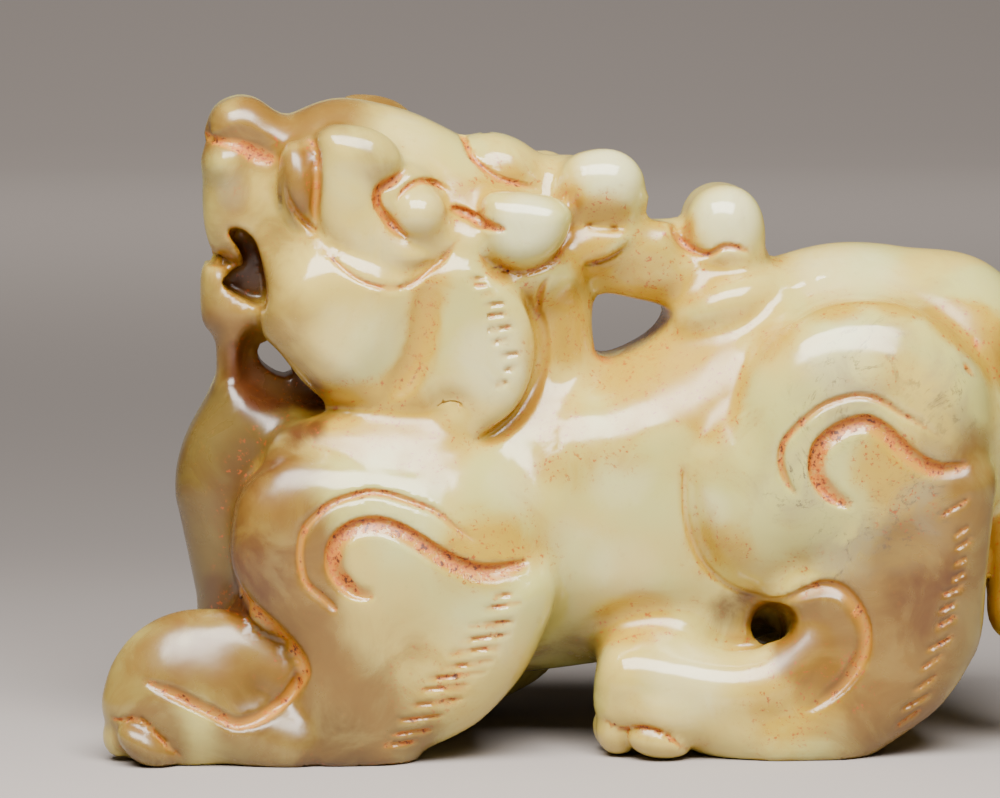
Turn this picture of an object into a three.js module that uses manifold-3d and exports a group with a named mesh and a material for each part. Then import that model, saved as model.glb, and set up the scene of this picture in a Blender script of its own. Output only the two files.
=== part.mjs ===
// Qilin figure: a small crouching beast, head thrown up and back, carved from one pebble of jade.
// Millimetres, +Z up. The head points to -X, and the beast's left flank, the best-carved one, faces -Y.
// The form is a field of distances: rounded masses flow into each other, then hollows are cut out of them.
// The field's zero surface is cut into facets, thinned to the facet budget, and trimmed flat under the feet.
import * as THREE from "three";
import { mergeVertices } from "three/addons/utils/BufferGeometryUtils.js";
import Module from "manifold-3d";

// Driving sizes. The outlines below are drawn at DRAWN_LENGTH and follow LENGTH as shares of it.
const DRAWN_LENGTH = 98;
const DRAWN_WIDTH = 38;
const LENGTH = 98; // front toe to rump
const WIDTH = 38; // across the hind toes
const CELL = 0.9; // pitch of the sampling lattice
const FACETS = 9600; // budget of triangles
const ARM_SETBACK = 8; // the far foreleg stands this much further back than the near one
const LEG_SETBACK = 3; // and the far hind leg this much
const HEAD_SETBACK = 2.5; // and the far side of the head this much
const HORN_DROP = 1.4; // the horn's far side hangs this much lower
const HEAD_ROLL = 7; // degrees: the head leans over towards the left flank
const MOUTH_WALL = 3; // thickness of the stone left in the middle of the mouth
const TUNNEL_HALF = 30; // openings that go right through are cut this far to each side
const CENTRE = [2.6, 0]; // middle of the drawn figure's box, which is moved over the origin

const radians = THREE.MathUtils.degToRad;
const clamp = THREE.MathUtils.clamp;
const TINY = 1e-9; // keeps a division by zero away

// Smooth curve through a few points, in SHORT_SPANS short spans from each point to the next.
const SHORT_SPANS = 4;
function rounded(points, closed = true) {
  const n = points.length;
  const pick = (i) => (closed ? points[(i + n) % n] : points[clamp(i, 0, n - 1)]);
  const curve = [];
  for (let i = 0; i < (closed ? n : n - 1); i++) {
    const [a, b, c, d] = [pick(i - 1), pick(i), pick(i + 1), pick(i + 2)];
    for (let s = 0; s < SHORT_SPANS; s++) {
      const t = s / SHORT_SPANS;
      curve.push(
        b.map((v, k) => {
          const slope = c[k] - a[k];
          const bend = 2 * a[k] - 5 * v + 4 * c[k] - d[k];
          const turn = 3 * (v - c[k]) + d[k] - a[k];
          return v + (t * (slope + t * (bend + t * turn))) / 2;
        }),
      );
    }
  }
  if (!closed) curve.push(points[n - 1]);
  return curve;
}

// Signed distance from (x, z) to a closed curve, negative inside it.
function toOutline(curve, x, z) {
  let best = Infinity;
  let inside = false;
  for (let i = 0, j = curve.length - 1; i < curve.length; j = i++) {
    const [ax, az] = curve[j];
    const [bx, bz] = curve[i];
    const ex = bx - ax;
    const ez = bz - az;
    const t = clamp(((x - ax) * ex + (z - az) * ez) / (ex * ex + ez * ez), 0, 1);
    const dx = x - ax - t * ex;
    const dz = z - az - t * ez;
    best = Math.min(best, dx * dx + dz * dz);
    if (az > z !== bz > z && x < ax + ((z - az) / ez) * ex) inside = !inside;
  }
  return inside ? -Math.sqrt(best) : Math.sqrt(best);
}

function boxOf(points, margin) {
  const low = [0, 1, 2].map((k) => Math.min(...points.map((p) => p[k])) - margin);
  const high = [0, 1, 2].map((k) => Math.max(...points.map((p) => p[k])) + margin);
  return { low, high };
}

// An egg: centre, half sizes along x, y, z, and a turn in the side view, degrees, front end up.
function egg(centre, half, turn = 0) {
  const [c, s] = [Math.cos(radians(turn)), Math.sin(radians(turn))];
  const [rx, ry, rz] = half;
  return {
    ...boxOf([centre], Math.max(...half)),
    at(x, y, z) {
      const px = x - centre[0];
      const qy = (y - centre[1]) / ry;
      const pz = z - centre[2];
      const qx = (c * px - s * pz) / rx;
      const qz = (s * px + c * pz) / rz;
      const k = Math.hypot(qx, qy, qz);
      return (k * (k - 1)) / Math.max(Math.hypot(qx / rx, qy / ry, qz / rz), TINY);
    },
  };
}

// A limb: points [x, y, z, radius] joined by a smooth tapering tube.
function limb(points) {
  const path = rounded(points, false);
  return {
    ...boxOf(path, Math.max(...points.map((p) => p[3]))),
    at(x, y, z) {
      let best = Infinity;
      for (let i = 1; i < path.length; i++) {
        const [ax, ay, az, ar] = path[i - 1];
        const [bx, by, bz, br] = path[i];
        const [ex, ey, ez] = [bx - ax, by - ay, bz - az];
        const along = (x - ax) * ex + (y - ay) * ey + (z - az) * ez;
        const t = clamp(along / (ex * ex + ey * ey + ez * ez), 0, 1);
        const gap = Math.hypot(x - ax - t * ex, y - ay - t * ey, z - az - t * ez);
        best = Math.min(best, gap - ar - t * (br - ar));
      }
      return best;
    },
  };
}

// A cushion-shaped slab: a side-view outline between y values `inner` and `outer`, whose faces roll over
// into its edge over `roll` mm of the outline and `drop` mm of its thickness.
function slab(points, inner, outer, roll, drop = roll) {
  const curve = rounded(points);
  const middle = (inner + outer) / 2;
  const half = Math.abs(outer - inner) / 2;
  const stretch = roll / drop;
  const flat = curve.map(([x, z]) => [x, middle, z]);
  const box = boxOf(flat, 0);
  box.low[1] = middle - half;
  box.high[1] = middle + half;
  return {
    ...box,
    at(x, y, z) {
      const u = toOutline(curve, x, z) + roll;
      const v = (Math.abs(y - middle) - half) * stretch + roll;
      if (u <= 0 && v <= 0) return Math.max(u - roll, (v - roll) / stretch);
      if (u <= 0) return (v - roll) / stretch;
      if (v <= 0) return u - roll;
      const reach = Math.hypot(u, v);
      return ((reach - roll) * reach) / Math.hypot(u, v * stretch);
    },
  };
}

// A trunk running along x: stations [x, top z, underside z, half width], with an oval section.
function trunk(stations) {
  const path = rounded(stations, false);
  const points = path.flatMap(([x, top, under, wide]) => [
    [x, wide, top],
    [x, -wide, under],
  ]);
  const first = path[0][0];
  const last = path[path.length - 1][0];
  return {
    ...boxOf(points, 0),
    at(x, y, z) {
      const at = clamp(x, first, last);
      let i = 1;
      while (path[i][0] < at) i++;
      const t = (at - path[i - 1][0]) / (path[i][0] - path[i - 1][0]);
      const [, top, under, wide] = path[i - 1].map((v, k) => v + t * (path[i][k] - v));
      const tall = (top - under) / 2;
      const qy = y / wide;
      const qz = (z - under - tall) / tall;
      const k = Math.hypot(qy, qz);
      const section = (k * (k - 1)) / Math.max(Math.hypot(qy / wide, qz / tall), TINY);
      return Math.max(section, first - x, x - last);
    },
  };
}

// The same form on the far side, `back` mm further back and `drop` mm lower.
function across(form, back = 0, drop = 0) {
  return {
    low: [form.low[0] + back, -form.high[1], form.low[2] - drop],
    high: [form.high[0] + back, -form.low[1], form.high[2] - drop],
    at: (x, y, z) => form.at(x - back, -y, z + drop),
  };
}

// The same form on the far side of the head, HEAD_SETBACK further back. The head's middle plane leans by
// HEAD_ROLL about HEAD_AXIS.
const HEAD_AXIS = 52;
function acrossHead(form) {
  const [c, s] = [Math.cos(radians(2 * HEAD_ROLL)), Math.sin(radians(2 * HEAD_ROLL))];
  const mirror = (y, z) => [-c * y - s * (z - HEAD_AXIS), HEAD_AXIS - s * y + c * (z - HEAD_AXIS)];
  const corners = [form.low, form.high].flatMap(([x, , z]) =>
    [form.low[1], form.high[1]].map((y) => {
      const [v, w] = mirror(y, z);
      return [x + HEAD_SETBACK, v, w];
    }),
  );
  return {
    ...boxOf(corners, 0),
    at(x, y, z) {
      const [v, w] = mirror(y, z);
      return form.at(x - HEAD_SETBACK, v, w);
    },
  };
}

// The same form on the far foreleg, on the far hind leg, and on the far side of the horn.
const acrossArm = (form) => across(form, ARM_SETBACK);
const acrossLeg = (form) => across(form, LEG_SETBACK);
const acrossHorn = (form) => across(form, 0, HORN_DROP);

// What is joined or cut, in order. `blend` is the radius over which neighbours flow together.
const steps = [];
const join = (form, blend) => steps.push({ form, blend, sign: 1 });
const cut = (form, blend) => steps.push({ form, blend, sign: -1 });
function joinPair(form, blend, mirrored = across) {
  join(form, blend);
  join(mirrored(form), blend);
}
function cutPair(form, blend, mirrored) {
  cut(form, blend);
  cut(mirrored(form), blend);
}
// Trunk, from the chest to the loins, with the rump behind it, and the chest with the beard laid on it.
function body() {
  join(
    trunk([
      [-31, 31, 12, 7], [-26, 35, 9, 10], [-18, 38, 7, 12.5], [-7, 39.5, 6.3, 13.5],
      [4, 40, 7.4, 13], [11, 43.2, 8.2, 12.8], [17, 46.6, 9, 13], [23, 49.4, 10.6, 13.6],
      [30, 50.7, 14.5, 14.3], [38, 49.6, 17, 13.6], [44, 46.2, 20, 11], [48, 41.5, 24, 7.5],
    ]),
    2,
  );
  join(egg([41, 0, 34], [9.8, 13.2, 15.4]), 3);
  const flank = [
    [-4, 14], [-5, 30], [-1, 35], [6, 36.6], [12, 39], [18, 42.4], [24, 44], [27, 30], [24, 14],
  ];
  join(slab(flank, -13, 13, 6.5, 7), 2.5);
  const chest = [
    [-34.4, 38.2], [-36.1, 35], [-38.3, 30.8], [-39.3, 26.4], [-38.6, 22.3], [-37.2, 15.2],
    [-36.4, 10], [-29, 9], [-22, 14], [-24, 33], [-30, 36.6], [-32.2, 37.6],
  ];
  join(slab(chest, -7.5, 7.5, 5), 1.5);
}

// Neck, skull, muzzle, chin and nose.
function skull() {
  join(limb([[-6, 0, 30, 9.5], [-4, 0, 37, 8.6], [-4.5, 0, 45, 8.6], [-6, 0, 52, 7.5]]), 3);
  const vault = [
    [-29.6, 62.2], [-25.9, 64.6], [-21.8, 65.6], [-15.7, 64.4], [-10.8, 62.2], [-6.2, 59.4],
    [-2.6, 56], [-2.6, 50.3], [-8, 43], [-16, 40], [-25, 42], [-29, 46], [-31, 51], [-31.5, 57.5],
  ];
  join(slab(vault, -10, 10, 9, 8), 1.5);
  const muzzle = [
    [-30, 63.4], [-33, 63.8], [-35.2, 62.6], [-36.1, 60], [-36.3, 56.4], [-36.2, 53.2],
    [-35.5, 50.6], [-34.4, 49.6], [-29, 46], [-25, 48], [-24, 60],
  ];
  join(slab(muzzle, -6.6, 6.6, 4.2, 4.6), 2);
  const chin = [
    [-35.4, 49.6], [-36.3, 48.6], [-36.6, 46.6], [-36.4, 43.2], [-35.1, 41], [-34.7, 37],
    [-31.8, 36.6], [-31.7, 40], [-29.6, 41.8], [-26, 41], [-24, 45], [-26, 48], [-31, 49],
  ];
  join(slab(chin, -6.2, 6.2, 3.4, 4.4), 0.5);
  const nose = [
    [-35.6, 61.8], [-35.7, 63.2], [-34.8, 65], [-32.8, 65.9], [-31, 65.7], [-29.4, 64.7],
    [-27.8, 63.2], [-26.4, 61], [-29, 60], [-32.5, 60.8],
  ];
  join(egg([-33.2, 0, 62.6], [2, 4, 2.2]), 1);
  join(slab(nose, -6.4, 6.4, 2.8, 3.4), 1.2);
  joinPair(egg([-33.7, -3.6, 59.3], [2.4, 3.5, 2.1], 10), 1.4, acrossHead);
  cutPair(egg([-29.9, -10.4, 58.5], [3.2, 3.6, 3.4], 18), 2.6, acrossHead);
  cut(egg([-36.2, -3.4, 62.4], [1, 1, 0.7], 20), 0.8);
  cut(egg([-36.2, 0.9, 62.9], [1, 1, 0.7], 20), 0.8);
  joinPair(egg([-22.6, -5.2, 47], [7.4, 7.6, 7]), 3.5, acrossHead);
}

// Lock of hair that hangs like a blade behind the cheek, and the cheek's round pad over it.
function cheekAndLock() {
  const lock = [
    [-9.8, 49.7], [-8.4, 48.8], [-5.8, 47.2], [-4, 44.6], [-3.2, 41.8], [-3.4, 39], [-4.6, 35.6],
    [-6.6, 33.6], [-8.6, 32.6], [-9.5, 32.7], [-9.9, 34.7], [-10.7, 35.8], [-11.9, 36.1],
    [-13, 35.6], [-14.2, 34.6], [-18, 34.5], [-23, 36.8], [-24, 42], [-20, 47], [-13, 49.8],
  ];
  joinPair(slab(lock, -5, -12.9, 2, 1.8), 1, acrossHead);
  join(egg([-11.6, -9.6, 32.6], [2.6, 2.8, 2]), 0.8);
  const cheek = [
    [-30.4, 42.4], [-29.4, 40.4], [-27.7, 38.3], [-26, 36.6], [-24.4, 35.6], [-22.4, 35.4],
    [-20, 36.3], [-17.8, 38], [-16.1, 40.4], [-15, 43.4], [-14.6, 46.5], [-15.2, 49.5], [-19, 52],
    [-25, 52], [-29, 49.4], [-30.6, 45.8],
  ];
  joinPair(slab(cheek, -3, -14.2, 5.2, 5.4), 1.4, acrossHead);
  const throat = [[-33, 42], [-27, 43], [-23, 40], [-23, 34], [-27, 34], [-32, 36]];
  join(slab(throat, -3.4, 3.4, 1.5), 1);
}

// Eye, brow, the curl that the brow rolls up into, and the ear.
function face() {
  joinPair(egg([-24.8, -7.6, 56.6], [2.4, 3, 5], -6), 1.6, acrossHead);
  joinPair(egg([-26.7, -8.2, 57.2], [2, 3.1, 4.5], -8), 0.8, acrossHead);
  const brow = [
    [-25, 61.2], [-24.6, 62.7], [-23, 63.4], [-20.3, 62.9], [-18, 61.8], [-16.6, 60.2],
    [-16.8, 58.8], [-17.6, 57.6], [-18.2, 56.4], [-17.8, 55], [-16.8, 53.6], [-15, 52.4],
    [-13.6, 51.2], [-13.3, 49.8], [-15.7, 48], [-17.7, 47.6], [-19.7, 48], [-21.5, 49], [-23, 50.4],
    [-24.3, 52.3], [-24.9, 55.6],
  ];
  joinPair(egg([-16.8, -9.3, 56.2], [3.8, 3.2, 3.6]), 1.2, acrossHead);
  joinPair(slab(brow, -6, -13.2, 3, 2.6), 0.7, acrossHead);
  joinPair(egg([-20.6, -10.4, 60.2], [3.9, 3, 2.9], 12), 0.8, acrossHead);
  joinPair(egg([-14.6, -9, 52.6], [3.2, 3.6, 3.4]), 0.8, acrossHead);
  joinPair(egg([-14.9, -10.7, 54.4], [2.8, 3.3, 2.8]), 0.7, acrossHead);
  joinPair(egg([-10.2, -9, 51], [3.8, 2.9, 3.4], 20), 1.8, acrossHead);
  const ear = [
    [-8.4, 56], [-6, 56.7], [-2.9, 56.4], [-0.9, 55.9], [0.3, 54.9], [0.5, 53.6], [-0.4, 51.4],
    [-2.2, 49.7], [-4.9, 48.9], [-7.5, 49.8], [-8.8, 52],
  ];
  joinPair(egg([-3.6, -6.2, 48.4], [5.4, 4.8, 3.8]), 2, acrossHead);
  joinPair(slab(ear, -6, -13.2, 3, 3), 0.7, acrossHead);
}

// Horn: a crown, a first curl on its tier, and a long shaft that ends in a second curl on the back.
function horn() {
  join(egg([-5.6, -0.5, 59], [4.6, 5.4, 2.8], 24), 1.4);
  join(egg([0.5, 0, 56.6], [6, 4.8, 3.2]), 1.5);
  const column = [
    [-0.6, 56], [8, 56], [8.4, 54.4], [9.3, 53.3], [11.4, 52.6], [11.4, 48], [1, 48], [-1.6, 50],
  ];
  joinPair(slab(column, -0.5, -6.8, 2.8, 2.4), 1.6, acrossHorn);
  const firstCurl = [
    [0, 58.7], [1.2, 59.9], [2.6, 60.4], [4.2, 60.6], [5.7, 60.4], [7, 59.7], [8, 58.5],
    [8.4, 57.2], [8.4, 55.6], [7.6, 54], [5.6, 53], [3, 52.9], [0.8, 53.8], [-0.4, 56],
  ];
  joinPair(slab(firstCurl, -0.5, -8.4, 3.6, 3.4), 1.2, acrossHorn);
  join(egg([-1.2, 5, 57.6], [3, 3.4, 2.4]), 1);
  const tier = [
    [0, 50.4], [1.2, 51.8], [2.8, 52.4], [5.6, 52.4], [6.6, 51.8], [5.6, 50.4], [3.8, 49.5],
    [1.4, 49.2],
  ];
  joinPair(slab(tier, -5, -7.7, 0.7, 0.8), 0.8);
  const shaft = [
    [-2, 0, 48.5, 5.5], [4.5, 0, 49.2, 4.4], [9.5, 0, 48.8, 4.4], [14, 0, 48.6, 4.6],
    [18, 0, 48.2, 3.8],
  ];
  join(limb(shaft), 0.8);
  join(egg([10, 0, 48], [9, 6.4, 3.8]), 1);
  joinPair(egg([16.5, -3.6, 45], [6, 5.4, 3], -22), 2.5);
  const secondCurl = [
    [12.9, 53.6], [13.8, 55.5], [15.2, 56.5], [16.9, 56.8], [18.8, 56.3], [20.2, 54.9],
    [20.9, 52.9], [21, 50.5], [20.7, 48], [18, 46.4], [14, 48], [12.6, 51],
  ];
  join(slab(secondCurl, -6.6, 6.6, 4, 4), 1);
}

// Foreleg: a round shoulder, a plate that sweeps back to a point at the elbow, and the paw.
function forelegs() {
  joinPair(egg([-17, -10, 20.6], [15.5, 8.4, 12], -6), 3, acrossArm);
  const plate = [
    [-33.6, 23], [-33.5, 18.6], [-31.6, 14.2], [-28, 10.5], [-27, -2.4], [-17.6, -2.4],
    [-14.7, 0.9], [-11.9, 2.3], [-9, 4], [-6.1, 6.9], [-4.2, 9.5], [-2.7, 12.6], [-1.8, 15],
    [-1.6, 17.4], [-2.7, 19.4], [-5, 20.4], [-10, 24], [-18, 29], [-27, 30.6], [-32.2, 27.6],
  ];
  joinPair(slab(plate, -7, -18.4, 6, 3.6), 2.4, acrossArm);
  const paw = [
    [-36.4, 15], [-39.6, 14.4], [-42.9, 12.5], [-45.2, 10], [-46.4, 7], [-46, 4.4], [-43.6, 2],
    [-39.4, 1.6], [-36.8, 0.7], [-34, -0.4], [-30, -2], [-24, -2], [-25, 8], [-28.4, 12.4],
    [-32.6, 14.8],
  ];
  joinPair(slab(paw, -8.2, -16.2, 4.5, 4), 0.8, acrossArm);
  joinPair(egg([-37.6, -11.9, 6], [8.7, 6.2, 8.8], -6), 0.8, acrossArm);
  joinPair(egg([-31, -8.6, 13], [3.4, 2.6, 3]), 0.8, acrossArm);
  joinPair(egg([-20, -9.2, 30.8], [9.5, 5.4, 3.8]), 2.5);
  const lowerRoll = [
    [-43.4, -12.8, 5.4, 3.2], [-40, -13.6, 5.3, 3.7], [-36.6, -13.9, 4.7, 4],
    [-33.4, -14, 3.6, 4.2], [-28, -13.8, 1.4, 4.6],
  ];
  joinPair(limb(lowerRoll), 0.8, acrossArm);
  joinPair(egg([-42.2, -15.6, 1.9], [3.4, 2.6, 1.8], 34), 0.4, acrossArm);
  joinPair(egg([-44.6, -12.4, 2.9], [2, 2.4, 2.6], 20), 0.5, acrossArm);
  joinPair(egg([-43.4, -9.4, 2.3], [2.4, 2.2, 2.2], 20), 0.5, acrossArm);
}

// Hind leg: a web of stone behind the knee, the knee, the haunch, the hock's blade and the paw.
function hindLegs() {
  const web = [[9, 8], [12, 15.5], [18, 20], [25, 19], [28, 10], [20, 7]];
  joinPair(slab(web, -5.8, -11.4, 3), 3, acrossLeg);
  joinPair(egg([18.9, -11.2, 26], [7, 6, 10.2], -10), 1, acrossLeg);
  const haunch = [
    [16.6, 32], [17.4, 37], [20.4, 42], [25, 45.2], [30.4, 46], [36, 44.6], [40.6, 40.6],
    [42.6, 35], [42, 27], [36, 20], [26, 17.6], [20, 21], [17.4, 26.4],
  ];
  joinPair(slab(haunch, -4, -19, 10, 6.4), 1.4, acrossLeg);
  const shank = [
    [24, 18], [27, 26], [33, 29], [39.2, 30.4], [41.8, 29.6], [42.9, 27.8], [42.5, 23.7], [42, 18],
    [41.5, 12], [40.3, 9.1], [38.6, 6.4], [36.6, 4.2], [33.4, 1.9], [30, -0.4], [28, -2.4],
    [18, -2.4], [19, 5], [24, 11],
  ];
  joinPair(slab(shank, -7.5, -18.4, 5, 3.4), 1.5, acrossLeg);
  const paw = [
    [2.7, 8], [2.9, 4.2], [5, 2.2], [10, 1.7], [13, 0.9], [16, -0.1], [20, -2], [28, -2], [29, 6],
    [25.6, 12.4], [22.6, 11.4], [19, 10], [12, 11], [7, 11.6], [4, 10.8],
  ];
  joinPair(slab(paw, -9, -17.2, 4, 4), 0.8, acrossLeg);
  const ankle = [
    [7, -13.6, 7.6, 3.8], [15, -14, 6.2, 4.2], [21, -14, 7, 4.2], [24.8, -13.8, 10.4, 4],
    [25.6, -13.4, 14, 3.2],
  ];
  joinPair(limb(ankle), 0.8, acrossLeg);
  joinPair(
    limb([
      [6.2, -13.4, 5.2, 3.3], [11, -13.9, 5, 3.7], [14.6, -13.9, 4, 4], [20, -13.8, 2, 4.4],
    ]),
    0.8, acrossLeg,
  );
  joinPair(egg([24, -12.6, 16.4], [4, 4, 3]), 2, acrossLeg);
  joinPair(egg([9.5, -8.4, 10.5], [6.5, 5.4, 4]), 2.5, acrossLeg);
  joinPair(egg([9.6, -15.4, 4.5], [5.2, 2.9, 3], 14), 0.8, acrossLeg);
  joinPair(egg([8.9, -15.8, 1.9], [3.3, 2.5, 1.8], 10), 0.4, acrossLeg);
  joinPair(egg([5, -13.4, 2.6], [2.2, 2.6, 2.5]), 0.5, acrossLeg);
  joinPair(egg([4.8, -10.8, 2.5], [2.1, 2.3, 2.4]), 0.5, acrossLeg);
}

// Tail: it drops from the rump, lies against the near hock, and rolls up at its tip.
function tail() {
  const curve = [
    [42, 0, 40, 5], [46.6, -1.5, 34, 4.6], [47.2, -5, 27, 4.4], [46.8, -8, 20, 4],
    [46.4, -9.4, 15, 3.2],
  ];
  join(limb(curve), 1);
  join(egg([47, -9.8, 13.8], [3.9, 3.6, 3.6]), 0.5);
}

// Openings that go right through, the mouth, and the holes bored behind the hind knees.
function hollows() {
  const hornGap = [[3.6, 45.4], [7.6, 45.2], [11.2, 43.8], [9.2, 41.1], [5.4, 39.3], [3.5, 40.2]];
  cut(slab(hornGap, -TUNNEL_HALF, TUNNEL_HALF, 1), 0.6);
  const beardHollow = [
    [-31.7, 41.3], [-30.2, 41], [-28.4, 39], [-26.2, 36.8], [-25.2, 35.6], [-27.4, 35.2],
    [-30.4, 36], [-32, 38], [-32.2, 40],
  ];
  cutPair(slab(beardHollow, -TUNNEL_HALF, -4, 1.6), 1.6, acrossHead);
  const beardHole = [
    [-30, 41.2], [-30.8, 40.4], [-30.6, 39], [-29.4, 37.9], [-28.2, 37.4], [-27.2, 37.7],
    [-27.8, 39], [-28.8, 40.4],
  ];
  cut(slab(beardHole, -TUNNEL_HALF, TUNNEL_HALF, 0.6), 0.8);
  const mouth = [
    [-33.7, 52.6], [-32.6, 52.8], [-31.2, 51.7], [-30.4, 49.4], [-29.9, 46.3], [-30.4, 44.9],
    [-32.6, 45.7], [-34.4, 47.1], [-33.6, 48.3], [-32.3, 49.1], [-32.7, 50.6], [-33.4, 51.6],
  ];
  cut(slab(mouth, -TUNNEL_HALF, TUNNEL_HALF, 0.5), 0.5);
  const lipSlot = [[-38, 50.9], [-36, 50.2], [-34, 49.3], [-34.2, 48.9], [-36, 49.1], [-38, 49]];
  cut(slab(lipSlot, -TUNNEL_HALF, TUNNEL_HALF, 0.3), 0.6);
  join(egg([-31, 0, 49], [4.4, MOUTH_WALL / 2, 6]), 0.5);
  const kneeHole = [[20.9, -22, 13.8, 1.9], [20.8, -12, 13.2, 1.9], [20, -5, 9.5, 2.2]];
  cutPair(limb(kneeHole), 0.8, acrossLeg);
}

[body, skull, cheekAndLock, face, horn, forelegs, hindLegs, tail, hollows].forEach((carve) => carve());

// Smooth union and cut: within `blend` of each other, two distances round off where they meet.
function merged(a, b, blend) {
  const h = Math.max(blend - Math.abs(a - b), 0) / blend;
  return Math.min(a, b) - (h * h * blend) / 4;
}

// Distance from the box of a form, which stands in for the form wherever the form can't matter.
function toBox({ low, high }, x, y, z) {
  const dx = Math.max(low[0] - x, 0, x - high[0]);
  const dy = Math.max(low[1] - y, 0, y - high[1]);
  const dz = Math.max(low[2] - z, 0, z - high[2]);
  return Math.hypot(dx, dy, dz);
}

// Signed distance to the whole figure.
const FAR = 1e3;
function figure(x, y, z) {
  let d = FAR;
  for (const { form, blend, sign } of steps) {
    const away = toBox(form, x, y, z);
    if (sign > 0 && away < d + blend) d = merged(d, form.at(x, y, z), blend);
    if (sign < 0 && away < blend - d) d = -merged(-d, form.at(x, y, z), blend);
  }
  return d;
}

// Skin of the field: each lattice cube is split into six tetrahedra, and each of those is cut at zero.
// The lattice runs from LOW to HIGH, round all of the drawn figure. A cut keeps NEAR_END away from the ends
// of an edge, as a share of it, so that no facet shrinks to nothing.
const LOW = [-50, -23, -5];
const HIGH = [54, 23, 69];
const NEAR_END = 0.02;
const TETRAHEDRA = [
  [0, 1, 3, 7],
  [0, 3, 2, 7],
  [0, 2, 6, 7],
  [0, 6, 4, 7],
  [0, 4, 5, 7],
  [0, 5, 1, 7],
];
function skin(field) {
  const count = LOW.map((v, k) => Math.ceil((HIGH[k] - v) / CELL) + 1);
  const [nx, ny, nz] = count;
  const place = (id) => {
    const i = id % nx;
    const j = Math.floor(id / nx) % ny;
    const k = Math.floor(id / (nx * ny));
    return [LOW[0] + i * CELL, LOW[1] + j * CELL, LOW[2] + k * CELL];
  };
  const value = new Float64Array(nx * ny * nz);
  for (let id = 0; id < value.length; id++) value[id] = field(...place(id)) || TINY;

  const points = [];
  const faces = [];
  const known = new Map();
  const crossing = (p, q) => {
    const [a, b] = p < q ? [p, q] : [q, p];
    const key = a * value.length + b;
    if (!known.has(key)) {
      const share = clamp(value[a] / (value[a] - value[b]), NEAR_END, 1 - NEAR_END);
      const [from, to] = [place(a), place(b)];
      known.set(key, points.length);
      points.push(from.map((v, k) => v + share * (to[k] - v)));
    }
    return known.get(key);
  };
  const corner = (id, c) => id + (c & 1) + (c & 2 ? nx : 0) + (c & 4 ? nx * ny : 0);
  for (let k = 0; k < nz - 1; k++) {
    for (let j = 0; j < ny - 1; j++) {
      for (let i = 0; i < nx - 1; i++) {
        const id = i + nx * (j + ny * k);
        let inside = 0;
        for (let c = 0; c < 8; c++) inside += value[corner(id, c)] < 0;
        if (inside === 0 || inside === 8) continue;
        for (const tetrahedron of TETRAHEDRA) {
          const ids = tetrahedron.map((c) => corner(id, c));
          const solid = ids.filter((v) => value[v] < 0);
          const empty = ids.filter((v) => value[v] >= 0);
          if (!solid.length || !empty.length) continue;
          const even = isEven([...solid, ...empty], ids);
          const add = (a, b, c) => faces.push(even ? [a, b, c] : [a, c, b]);
          if (solid.length === 1) add(...empty.map((v) => crossing(solid[0], v)));
          else if (empty.length === 1) {
            const [a, b, c] = solid.map((v) => crossing(v, empty[0]));
            add(a, b, c);
          } else {
            const [a, b, c, d] = [
              crossing(solid[0], empty[0]),
              crossing(solid[0], empty[1]),
              crossing(solid[1], empty[1]),
              crossing(solid[1], empty[0]),
            ];
            add(a, b, c);
            add(a, c, d);
          }
        }
      }
    }
  }
  return { points: points.map((p) => settledOn(field, p)), faces };
}

// A point moved along the slope of a field to where the field is zero. Slopes under LEAST_SLOPE, at creases,
// are taken as that, and a point moves a third of a cell at most in each pass.
const PROBE = 0.02;
const LEAST_SLOPE = 0.5;
function settledOn(field, start) {
  let p = start;
  for (let pass = 0; pass < 2; pass++) {
    const here = field(...p);
    const slope = p.map((v, k) => {
      const ahead = [...p];
      ahead[k] += PROBE;
      return (field(...ahead) - here) / PROBE;
    });
    const size = Math.max(slope.reduce((sum, v) => sum + v * v, 0), LEAST_SLOPE ** 2);
    const move = clamp(here / size, -CELL / 3, CELL / 3);
    p = p.map((v, k) => v - move * slope[k]);
  }
  return p;
}

// Whether an order is an even number of swaps away from another.
function isEven(order, start) {
  let swaps = 0;
  const now = [...start];
  order.forEach((v, i) => {
    const j = now.indexOf(v);
    if (j !== i) {
      [now[i], now[j]] = [now[j], now[i]];
      swaps++;
    }
  });
  return swaps % 2 === 0;
}

// Thinning: the edge whose loss bends the surface least is closed up, over and over, until the budget is met.
// A vertex carries the sum of its planes as a quadric, and a weak pull to where it was. No facet may turn by
// more than the angle whose cosine is LEAST_TURN.
const PULL = 2e-3;
const LEAST_TURN = 0.35;
function quadricOf(a, b, c) {
  const u = b.map((v, k) => v - a[k]);
  const w = c.map((v, k) => v - a[k]);
  const n = [u[1] * w[2] - u[2] * w[1], u[2] * w[0] - u[0] * w[2], u[0] * w[1] - u[1] * w[0]];
  const size = Math.hypot(...n) || TINY;
  const [x, y, z] = n.map((v) => v / size);
  const d = -(x * a[0] + y * a[1] + z * a[2]);
  const q = [x * x, x * y, x * z, x * d, y * y, y * z, y * d, z * z, z * d, d * d].map(
    (v) => v * size,
  );
  const hold = size * PULL;
  q[0] += hold;
  q[4] += hold;
  q[7] += hold;
  q[3] -= hold * a[0];
  q[6] -= hold * a[1];
  q[8] -= hold * a[2];
  q[9] += hold * (a[0] ** 2 + a[1] ** 2 + a[2] ** 2);
  return q;
}

function lowest(q) {
  const [a, b, c, g, e, f, h, i, j] = q;
  const det = a * (e * i - f * f) - b * (b * i - f * c) + c * (b * f - e * c);
  return [
    -(g * (e * i - f * f) - b * (h * i - f * j) + c * (h * f - e * j)) / det,
    -(a * (h * i - j * f) - g * (b * i - f * c) + c * (b * j - h * c)) / det,
    -(a * (e * j - h * f) - b * (b * j - h * c) + g * (b * f - e * c)) / det,
  ];
}

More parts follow.
